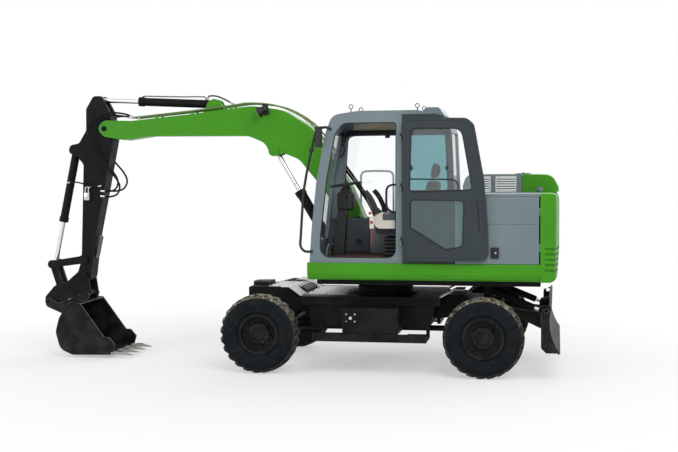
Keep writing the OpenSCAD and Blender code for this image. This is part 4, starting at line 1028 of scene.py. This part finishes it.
class HoseSet(Enum):
    """Hoses that the photograph shows, and the ones they need at the boom's foot."""

    STICK_OUTER = Hose("stick_hose_outer", STICK_LINE, *STICK_ENDS)
    STICK_MIDDLE = Hose("stick_hose_middle", (
        (2978, 26, 2809), (3080, 52, 2852), (3228, 122, 2866), (3384, 134, 2830), (3486, 136, 2726), (3504, 136, 2590),
        (3450, 136, 2430), (3338, 132, 2270), (3208, 122, 2140), (3140, 106, 2020), (3176, 84, 1916), (3290, 62, 1880),
        (3392, 50, 1890),
    ), *STICK_ENDS)
    STICK_RIGHT = Hose("stick_hose_right", mirrored(STICK_LINE), *STICK_ENDS)
    BUCKET_PORT = Hose("bucket_hose", (
        (3392, 48, 2012), (3440, 62, 2000), (3510, 70, 2006), (3580, 68, 2026), (3650, 58, 2046), (3720, 40, 2056),
        (3780, 18, 2054), (3834, -6, 2048),
    ), 0.009, "stick", "bucket_barrel", (3580, 0, 2026), (3740, 0, 2056))
    CYLINDER = Hose("cylinder_hose", (
        (2096, -36, 3016), (2080, -24, 3040), (2046, -6, 3048), (1962, 24, 3040), (1870, 28, 3003), (1800, 27, 2966),
        (1762, 26, 2950),
    ), 0.009, "stick_barrel", "boom", (2050, 0, 3046), (1870, 0, 3003))
    FOOT_OUTER = Hose("foot_hose_outer", FOOT_LINE, *FOOT_ENDS)
    FOOT_MIDDLE = Hose(
        "foot_hose_middle", tuple((x, y, z) for (x, _, z), y in zip(FOOT_LINE, FOOT_MIDDLE_Y)), *FOOT_ENDS,
    )
    FOOT_RIGHT = Hose("foot_hose_right", mirrored(FOOT_LINE), *FOOT_ENDS)


@dataclass(frozen=True)
class Part:
    """Small piece with its finish and the body that carries it."""

    name: str
    coat: Coat
    body: str

    def build(self, shop: Workshop) -> None:
        """Makes the piece and dresses it."""
        shop.put(self.model(), self.coat, self.body)

    def model(self) -> Piece:
        """Makes the mesh."""
        raise NotImplementedError


@dataclass(frozen=True)
class Seal(Part):
    """Strip round an opening, its corners as millimetres ahead, millimetres up and rounding radius."""

    y: float
    radius: float
    corners: tuple[Point, ...]

    def model(self) -> Piece:
        """Makes the strip."""
        return tube(self.name, outline(self.corners, self.y), self.radius, 1, True)


def opened(corners: tuple[Point, ...], hinge: float = -312.0) -> tuple[Point, ...]:
    """Mirrors an outline on the closed door to where the open door lies."""
    return tuple((2 * hinge - x, z, radius) for x, z, radius in corners)


class Seals(Enum):
    """Rubber strips of the cab and its door."""

    DOORWAY = Seal("doorway_seal", Coat.SEAL, "upper", 951, 0.008, (
        (566, 1256, 106), (556, 1500, 200), (486, 2083, 300), (396, 2552, 100), (306, 2672, 106), (-258, 2672, 40),
        (-246, 1256, 86),
    ))
    DOOR_EDGE = Seal("door_edge_seal", Coat.SEAL, "cab_door", 1038.5, 0.006, opened((
        (566, 1262, 80), (560, 1560, 200), (518, 2083, 300), (422, 2620, 90), (362, 2676, 80), (-258, 2688, 30),
        (-258, 1262, 30),
    )))
    DOOR_UPPER = Seal("door_upper_window_seal", Coat.SEAL, "cab_door", 1041, 0.008, opened((
        (430, 1968, 40), (320, 2600, 110), (-200, 2606, 60), (-222, 1950, 40),
    )))
    DOOR_LOWER = Seal("door_lower_window_seal", Coat.SEAL, "cab_door", 1041, 0.008, opened((
        (330, 1380, 60), (345, 1858, 50), (-215, 1868, 50), (-215, 1580, 40), (150, 1352, 60),
    )))
    REAR_SIDE = Seal("rear_side_window_seal", Coat.SEAL, "upper", 957, 0.008, (
        (-345, 1960, 40), (-345, 2600, 60), (-770, 2600, 80), (-800, 1960, 40),
    ))
    RIGHT = Seal("right_window_seal", Coat.SEAL, "upper", 153, 0.009, (
        (470, 1560, 60), (400, 2560, 90), (-770, 2600, 80), (-800, 1760, 60),
    ))


@dataclass(frozen=True)
class Block(Part):
    """Block with rounded edges, a face of it sunk or raised inside a border, and copies of it one above another."""

    low: Point
    high: Point
    rounding: float
    axis: Point = UP
    border: float = 0.0
    depth: float = 0.0
    count: int = 1
    pitch: float = 0.0

    def model(self) -> Piece:
        """Makes the block.

        Returns:
            The mesh.
        """
        name = "slat" if self.count > 1 else self.name
        piece = settle(block(self.low, self.high, self.rounding, 3), name, 35.0)
        if self.border > 0:
            sink(piece, self.axis, self.border, self.depth)
        if self.count > 1:
            places = [Matrix.Translation((0.0, 0.0, self.pitch * n)) for n in range(self.count)]
            piece = spread(piece, places, self.name)
        return piece


@dataclass(frozen=True)
class Rod(Part):
    """Round bar or pipe along a smooth line."""

    radius: float
    points: tuple[Point, ...]
    steps: int = 6
    sides: int = 3

    def model(self) -> Piece:
        """Makes the bar."""
        return tube(self.name, smooth_path(self.points, self.steps), self.radius, self.sides)


@dataclass(frozen=True)
class Cap(Part):
    """Round cap with a dished face, standing on a surface."""

    place: Point
    axis: Point
    radius: float
    depth: float
    lip: float

    def model(self) -> Piece:
        """Makes the cap.

        Returns:
            The mesh.
        """
        piece = cylinder(40, self.radius, self.depth, 0.5 * self.depth)
        sink(piece, UP, self.lip, 0.35 * self.depth)
        bevel(piece, 0.12 * self.depth, 2)
        piece.matrix_world = Matrix.Translation(machine_point(*self.place)) @ facing(self.axis) @ piece.matrix_world
        return settle(piece, self.name)


@dataclass(frozen=True)
class Bolts(Part):
    """Like bolts on a face, as one piece."""

    axis: Point
    radius: float
    height: float
    spots: tuple[Point, ...]

    def model(self) -> Piece:
        """Makes the bolts.

        Returns:
            The mesh.
        """
        turn = facing(self.axis)
        places = [Matrix.Translation(machine_point(*spot)) @ turn for spot in self.spots]
        return spread(bolt(self.radius, self.height), places, self.name)


def ring(count: int, radius: float, shift: float = 0.0) -> list[tuple[float, float]]:
    """Spaces places evenly round a ring.

    Args:
        count: Number of places.
        radius: Radius of the ring.
        shift: Share of a step by which the first place is turned.

    Returns:
        The two coordinates of every place.
    """
    angles = [2 * math.pi * (k + shift) / count for k in range(count)]
    return [(radius * math.cos(angle), radius * math.sin(angle)) for angle in angles]


@dataclass(frozen=True)
class Fittings:
    """Sub-assembly of small pieces, made in order."""

    parts: tuple[Part, ...] = ()

    def build(self, shop: Workshop) -> None:
        """Makes and dresses every piece."""
        for part in self.parts:
            part.build(shop)


@dataclass(frozen=True)
class WheelFittings:
    """Wheel nuts and hub bolts of one wheel: their number, ring, distance outward, head radius and head height."""

    body: str
    x: float
    side: int
    wheel_y: float = 902.5
    axle_z: float = 425.0
    nuts: tuple[int, float, float, float, float] = (10, 140.0, 17.0, 0.015, 0.022)
    hub_bolts: tuple[int, float, float, float, float] = (8, 95.0, 56.0, 0.010, 0.010)

    def build(self, shop: Workshop) -> None:
        """Makes both rings.

        Args:
            shop: Gives the finishes.
        """
        for word, (count, reach, out, radius, height) in (("nuts", self.nuts), ("hub_bolts", self.hub_bolts)):
            y = self.side * (self.wheel_y + out)
            spots = tuple((self.x + dx, y, self.axle_z + dz) for dx, dz in ring(count, reach, 0.5))
            Bolts(f"{self.body}_{word}", Coat.RIM, self.body, (0.0, self.side, 0.0), radius, height, spots).build(shop)


def deck(word: str, x0: float, x1: float, half: float, top: float, inset: float = 24) -> tuple[Part, Part]:
    """Sets out a bolted cover plate on top of the chassis.

    Args:
        word: Last part of its name.
        x0: Its rear end.
        x1: Its front end.
        half: Half its width.
        top: Height of the face it lies on.
        inset: Distance of the bolts from its edge.

    Returns:
        The plate and its bolts.
    """
    face = top + 8
    rows = (inset - half, -half / 3, half / 3, half - inset)
    spots = tuple((x, y, face) for x in (x0 + inset, (x0 + x1) / 2, x1 - inset) for y in rows)
    low, high = (x0, -half, top - 0.5), (x1, half, face)
    # The plates take the near-white paint: pale plates, with the bright sky reflected by their metal painted in as
    # white.
    plate = Block(f"deck_plate_{word}", Coat.PALE_PAINTED_LIGHT, "chassis", low, high, 0.002, UP, 0.05, -0.003)
    return plate, Bolts(f"deck_bolts_{word}", Coat.BLACK, "chassis", UP, 0.009, 0.008, spots)


@dataclass(frozen=True)
class ChassisFittings(Fittings):
    """Bolts of the slew ring, the tool box's lock and the deck plates."""

    parts: tuple[Part, ...] = (
        Bolts("slew_ring_bolts", Coat.BLACK, "chassis", UP, 0.010, 0.012, tuple(
            (x, y, 873.0) for x, y in ring(36, 298.0)
        )),
        Block("tool_box_lock_plate", Coat.BLACK, "tool_box_door", (186, 927.5, 562), (302, 932, 662), 0.002),
        Bolts("tool_box_lock_bolts", Coat.STEEL, "tool_box_door", LEFT, 0.0065, 0.005, (
            (198, 932, 574), (198, 932, 650), (290, 932, 574), (290, 932, 650),
        )),
        Cap("tool_box_lock", Coat.STEEL, "tool_box_door", (244, 931, 611), LEFT, 0.017, 0.012, 0.005),
        *deck("middle", 372, 838, 440, 800),
        *deck("front", 930, 1300, 262, 866),
    )


@dataclass(frozen=True)
class Pad:
    """One stuffed pad of the seat, leaned back about its lower edge after it is puffed up and sewn."""

    name: str
    low: Point
    high: Point
    tilt_deg: float
    pivot: tuple[float, float]
    channels: tuple[float, ...]
    cap: float = 0.014
    rounding: float = 0.028
    voxel: float = 0.009
    pressure: float = 4.0
    frames: int = 20
    crown: float = 0.012
    seam_depth: float = 0.009
    seam_width: float = 0.012
    fill: float = 0.7

    def build(self, shop: Workshop) -> Piece:
        """Makes the pad as a crowned closed form.

        Args:
            shop: Gives the finish.

        Returns:
            The pad.
        """
        pad = block(self.low, self.high, self.rounding, 4)
        pad.name = self.name
        bpy.ops.object.transform_apply(location=True, rotation=True, scale=True)
        pad.data.remesh_voxel_size = self.voxel
        bpy.ops.object.voxel_remesh()
        self._puff(pad)
        self._sew(pad)
        self._lean(pad)
        finer = pad.modifiers.new("finer", "SUBSURF")
        finer.levels = finer.render_levels = 1
        bpy.ops.object.modifier_apply(modifier=finer.name)
        shop.put(settle(pad, self.name, 60.0), Coat.SEAT, "upper")
        return pad

    def _puff(self, pad: Piece) -> None:
        """Swells the pad with cloth under pressure, within a cap.

        Args:
            pad: Remeshed pad.
        """
        before = [vertex.co.copy() for vertex in pad.data.vertices]
        cloth = pad.modifiers.new("stuffing", "CLOTH")
        cloth.settings.use_pressure = True
        cloth.settings.uniform_pressure_force = self.pressure
        cloth.settings.effector_weights.gravity = 0.0
        cloth.settings.quality = 4
        for frame in range(1, self.frames + 1):
            bpy.context.scene.frame_set(frame)
        only(pad)
        bpy.ops.object.modifier_apply(modifier=cloth.name)
        bpy.context.scene.frame_set(1)
        for vertex, start in zip(pad.data.vertices, before):
            move = vertex.co - start
            if move.length > self.cap:
                vertex.co = start + move * (self.cap / move.length)

    def _sew(self, pad: Piece) -> None:
        """Pulls in the sewn channels and crowns the top.

        Args:
            pad: Puffed pad.
        """
        low, high = machine_point(*self.low), machine_point(*self.high)
        middle, size = (low + high) / 2, high - low
        for vertex in pad.data.vertices:
            x, y, z = ((vertex.co - middle)[k] / size[k] for k in range(3))
            if z > 0.2:
                vertex.co.z += self.crown * (1 - min(1.0, (2 * x) ** 2)) * (1 - min(1.0, (2 * y) ** 2))
                gaps = [(y - channel) * size.y / self.seam_width for channel in self.channels]
                vertex.co.z -= sum(self.seam_depth * math.exp(-(gap ** 2)) for gap in gaps)

    def _lean(self, pad: Piece) -> None:
        """Turns the pad to its rake about its lower edge.

        Args:
            pad: Sewn pad.
        """
        place = Matrix.Translation(machine_point(self.pivot[0], 0.0, self.pivot[1]))
        pad.data.transform(place @ Matrix.Rotation(math.radians(self.tilt_deg), 4, "Y") @ place.inverted())


@dataclass(frozen=True)
class Seat(Fittings):
    """Operator's seat: stuffed cushion, back and head rest on a sprung base with bellows."""

    cushion: Pad = Pad("seat_cushion", (-416, 330, 1486), (18, 780, 1572), -3.0, (-200, 1486), (-0.24, 0.24))
    back: Pad = Pad("seat_back", (-452, 336, 1588), (52, 774, 1684), -104.0, (-452, 1588), (-0.25, 0.25))
    head_rest: Pad = Pad("seat_head_rest", (-580, 440, 2092), (-420, 670, 2152), -100.0, (-580, 2092), (), 0.010)
    parts: tuple[Part, ...] = (
        *(
            Block(f"seat_bellows_{k}", Coat.PLASTIC, "upper", (-462, 372, z), (-88, 738, z + 36), 0.014)
            for k, z in enumerate(range(1262, 1462, 40))
        ),
        Block("seat_foot", Coat.BLACK, "upper", (-470, 366, 1246), (-80, 744, 1263), 0.004),
        *(
            Rod(f"head_rest_post_{y}", Coat.STEEL, "upper", 0.007, ((-600, y, 2052), (-622, y, 2140)), 1, 2)
            for y in (500, 610)
        ),
    )

    def build(self, shop: Workshop) -> None:
        """Makes the seat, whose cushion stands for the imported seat.

        Args:
            shop: Gives the finishes.
        """
        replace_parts(self.cushion.build(shop), "seat")
        self.back.build(shop)
        self.head_rest.build(shop)
        super().build(shop)


def control_stick(word: str, y: float) -> tuple[Part, ...]:
    """Sets out the boot, grip and console cover of one control stick.

    Args:
        word: Side of the seat.
        y: Its place to the left.

    Returns:
        The pieces.
    """
    boots = []
    for k, radius in enumerate((0.050, 0.042, 0.034)):
        place, axis = (-42 + 6 * k, y, 1716 + 17 * k), (0.25, 0.0, 1.0)
        boots.append(Cap(f"stick_boot_{word}_{k}", Coat.PLASTIC, "upper", place, axis, radius, 0.020, 0.008))
    line = ((-32, y, 1717), (-10, y, 1790), (40, y, 1890), (91, y, 1952))
    grip = Rod(f"stick_grip_{word}", Coat.PLASTIC, "upper", 0.0272, line, 6, 4)
    low, high = (-545, y - 45, 1640), (-92, y + 45, 1722)
    return *boots, grip, Block(f"console_cover_{word}", Coat.KNEE, "upper", low, high, 0.014, UP, 0.02, 0.004)


def pedal(k: int, y: float) -> tuple[Part, Part]:
    """Sets out one pedal.

    Args:
        k: Its number.
        y: Its place to the left.

    Returns:
        Its arm and its pad.
    """
    line = ((560, y, 1252), (556, y, 1300), (540, y, 1352), (520, y, 1392))
    low, high = (496, y - 45, 1384), (540, y + 45, 1400)
    arm = Rod(f"pedal_arm_{k}", Coat.STEEL, "upper", 0.010, line)
    return arm, Block(f"pedal_pad_{k}", Coat.PLASTIC, "upper", low, high, 0.005, UP, 0.008, 0.003)


@dataclass(frozen=True)
class CabInside(Fittings):
    """Lining, mat and small controls that show through the doorway."""

    parts: tuple[Part, ...] = (
        Block("headliner", Coat.LINER, "upper", (-690, 200, 2712), (290, 910, 2746), 0.012, DOWN, 0.06, 0.006),
        Block("side_lining", Coat.LINER, "upper", (-700, 195.5, 2612), (330, 212, 2712), 0.006, LEFT, 0.02, 0.004),
        Block("cab_light", Coat.LENS, "upper", (200, 640, 2704), (285, 700, 2713), 0.004, DOWN, 0.008, 0.002),
        Block("header_bar", Coat.PLASTIC, "upper", (-700, 195.5, 2556), (392, 236, 2614), 0.010, LEFT, 0.012, 0.005),
        Block("coat_hook", Coat.PLASTIC, "upper", (-82, 200, 2530), (-30, 226, 2558), 0.006),
        Block("monitor_box", Coat.PLASTIC, "upper", (392, 208, 2478), (446, 330, 2580), 0.012, BACK, 0.012, 0.004),
        Block("floor_mat", Coat.MAT, "upper", (-250, 200, 1245.5), (590, 908, 1252), 0.002, UP, 0.03, 0.002),
        Block("knee_panel", Coat.KNEE, "upper", (150, 197, 1254), (585, 216, 1640), 0.008, LEFT, 0.03, 0.005),
        Cap("knee_panel_cap", Coat.PLASTIC, "upper", (269, 214, 1379), LEFT, 0.034, 0.016, 0.010),
        Rod("pillar_loop", Coat.PLASTIC, "upper", 0.009, (
            (462, 212, 2458), (446, 226, 2456), (430, 236, 2436), (428, 240, 2394), (440, 236, 2350), (458, 226, 2330),
            (474, 212, 2328),
        )),
        Rod("grab_rail", Coat.PLASTIC, "upper", 0.012, (
            (-258, 893, 2022), (-190, 880, 2018), (-146, 874, 1984), (-138, 872, 1890), (-142, 870, 1790),
            (-170, 870, 1752), (-236, 870, 1722),
        )),
        Block("lever_plate", Coat.WHITE, "upper", (-8, 892, 1560), (38, 898, 1690), 0.003),
        Cap("lever_knob_0", Coat.RED, "upper", (16, 897, 1626), LEFT, 0.016, 0.008, 0.004),
        Cap("lever_knob_1", Coat.RED, "upper", (34, 897, 1722), LEFT, 0.016, 0.008, 0.004),
        Rod("safety_lever", Coat.RED, "upper", 0.006, (
            (14, 895, 1566), (12, 896, 1520), (16, 896, 1450), (26, 895, 1384),
        )),
        *control_stick("left", 847),
        *control_stick("right", 262),
        Block("column_cowl", Coat.PLASTIC, "upper", (262, 466, 1742), (446, 627, 1938), 0.030, LEFT, 0.03, 0.004),
        Rod("column_stalk", Coat.PLASTIC, "upper", 0.010, (
            (330, 612, 1880), (322, 664, 1894), (312, 716, 1914), (306, 742, 1926),
        )),
        *pedal(0, 640),
        *pedal(1, 440),
    )


def window_catch(k: int, x: float) -> tuple[Part, Part]:
    """Sets out one catch of the door's upper window.

    Args:
        k: Its number.
        x: Its place ahead.

    Returns:
        Its plate and its grip.
    """
    plate = (x - 22, 1031, 2188), (x + 22, 1046, 2202), 0.004
    grip = (x - 7, 1036, 2166), (x + 7, 1049, 2226), 0.005
    return (
        Block(f"window_catch_{k}", Coat.PLASTIC, "cab_door", *plate),
        Block(f"window_catch_grip_{k}", Coat.PLASTIC, "cab_door", *grip),
    )


@dataclass(frozen=True)
class DoorTrim(Fittings):
    """Guard bar, window catches and pull of the cab door."""

    parts: tuple[Part, ...] = (
        Rod("door_guard_bar", Coat.PLASTIC, "cab_door", 0.008, (
            (-398, 1038, 2082), (-560, 1039, 2080), (-800, 1039, 2076), (-872, 1039, 2066), (-900, 1039, 2030),
            (-918, 1039, 1950),
        )),
        *window_catch(0, -425),
        *window_catch(1, -792),
        Rod("door_pull", Coat.PLASTIC, "cab_door", 0.0065, (
            (-1100, 1042, 1860), (-1108, 1043, 1820), (-1116, 1043, 1700), (-1120, 1043, 1580), (-1118, 1042, 1540),
        )),
    )


@dataclass(frozen=True)
class ArmFittings(Fittings):
    """Steel pipes, valve block and lamp glass of the working arm."""

    parts: tuple[Part, ...] = (
        Rod("stick_cylinder_pipe", Coat.PIPE, "stick_barrel", 0.008, (
            (2120, ARM_Y, 2994), (2122, ARM_Y, 3028), (2150, ARM_Y, 3042), (2280, ARM_Y, 3046), (2400, ARM_Y, 3047),
            (2700, ARM_Y, 3057), (2850, ARM_Y, 3063), (2894, ARM_Y, 3058), (2900, ARM_Y, 3040),
        ), 5),
        Block("stick_valve_block", Coat.STEEL, "stick", (3530, 35.5, 1840), (3600, 84, 1930), 0.006),
        *(
            Rod(f"valve_elbow_{k}", Coat.STEEL, "stick", 0.008, (
                (x, 66, 1928), (x, 66, 1975), (x - 12, 64, 1996), (x - 45, 52, 2000), (x - 70, 40, 2000),
            ), 5)
            for k, x in enumerate((3545, 3584))
        ),
        *(
            Rod(f"stick_pipe_{k}", Coat.PIPE, "stick", 0.007, (
                (3452, y, 1412), (3444, y, 1390), (3452, y, 1350), (3472, y, 1260), (3490, y, 1180), (3506, y, 1150),
            ), 5)
            for k, y in enumerate((-20, -46, -74, -100))
        ),
    )
    lamp: Point = (1371, 150.3, 2874.6)
    lamp_tilt_deg: float = 118.0
    lamp_reach: float = 75.5

    def build(self, shop: Workshop) -> None:
        """Makes the pipes and the glass of the boom's lamp.

        Args:
            shop: Gives the finishes.
        """
        super().build(shop)
        tilt = math.radians(self.lamp_tilt_deg)
        axis = (math.sin(tilt), 0.0, math.cos(tilt))
        place = tuple(start + self.lamp_reach * step for start, step in zip(self.lamp, axis))
        Cap("lamp_glass", Coat.LENS, "boom", place, axis, 0.054, 0.006, 0.004).build(shop)


def grille(k: int, x0: float, x1: float) -> tuple[Part, Part]:
    """Sets out one air grille of the hood.

    Args:
        k: Its number.
        x0: Its rear end.
        x1: Its front end.

    Returns:
        Its slats and the bead round them.
    """
    low, high = (x0 - 6, 79, 1940), (x1 + 6, 85, 1957)
    corners = ((x0 - 12, 1932, 4), (x1 + 12, 1932, 4), (x1 + 12, 2093, 4), (x0 - 12, 2093, 4))
    # Slats and bead take the near-white paint. They are pale like the real louvre panels, and brighter still as
    # painted light against the shade in the slots.
    slats = Block(f"hood_grille_{k}", Coat.PALE_PAINTED_LIGHT, "engine_hood", low, high, 0.002, count=6, pitch=0.026)
    return slats, Seal(f"hood_bead_{k}", Coat.PALE_PAINTED_LIGHT, "engine_hood", 81, 0.006, corners)


@dataclass(frozen=True)
class HouseTrim(Fittings):
    """Grilles, latch and mirror face of the upper structure."""

    parts: tuple[Part, ...] = (
        *grille(0, -1168, -1090),
        *grille(1, -1448, -1254),
        Block(
            "side_latch", Coat.PLASTIC, "side_door", (-1321, 984, 1261), (-1239, 999, 1373), 0.006, LEFT, 0.012, 0.005,
        ),
        Block(
            "right_mirror_face", Coat.MIRROR, "upper", (-737, -950, 2218), (-732.5, -830, 2352), 0.002,
            BACK, 0.006, 0.001,
        ),
        Cap("side_latch_lock", Coat.STEEL, "side_door", (-1286, 993, 1318), LEFT, 0.010, 0.006, 0.003),
    )


def main() -> None:
    """Builds the scene in order and reports each piece."""
    logging.basicConfig(level=logging.INFO, format="%(message)s")
    shop = Workshop()
    PhotoCamera().build()
    for hose in HoseSet:
        hose.value.build(shop)
    Studio().build()
    shop.dress_solids()
    for strip in Seals:
        strip.value.build(shop)
    for word, x, side in (("fl", 1243.0, 1), ("fr", 1243.0, -1), ("rl", -1157.0, 1), ("rr", -1157.0, -1)):
        WheelFittings(f"wheel_{word}", x, side).build(shop)
    for group in (ChassisFittings(), Seat(), CabInside(), DoorTrim(), ArmFittings(), HouseTrim()):
        group.build(shop)
    LOG.info("the machine is dressed")


if __name__ == "__main__":
    main()
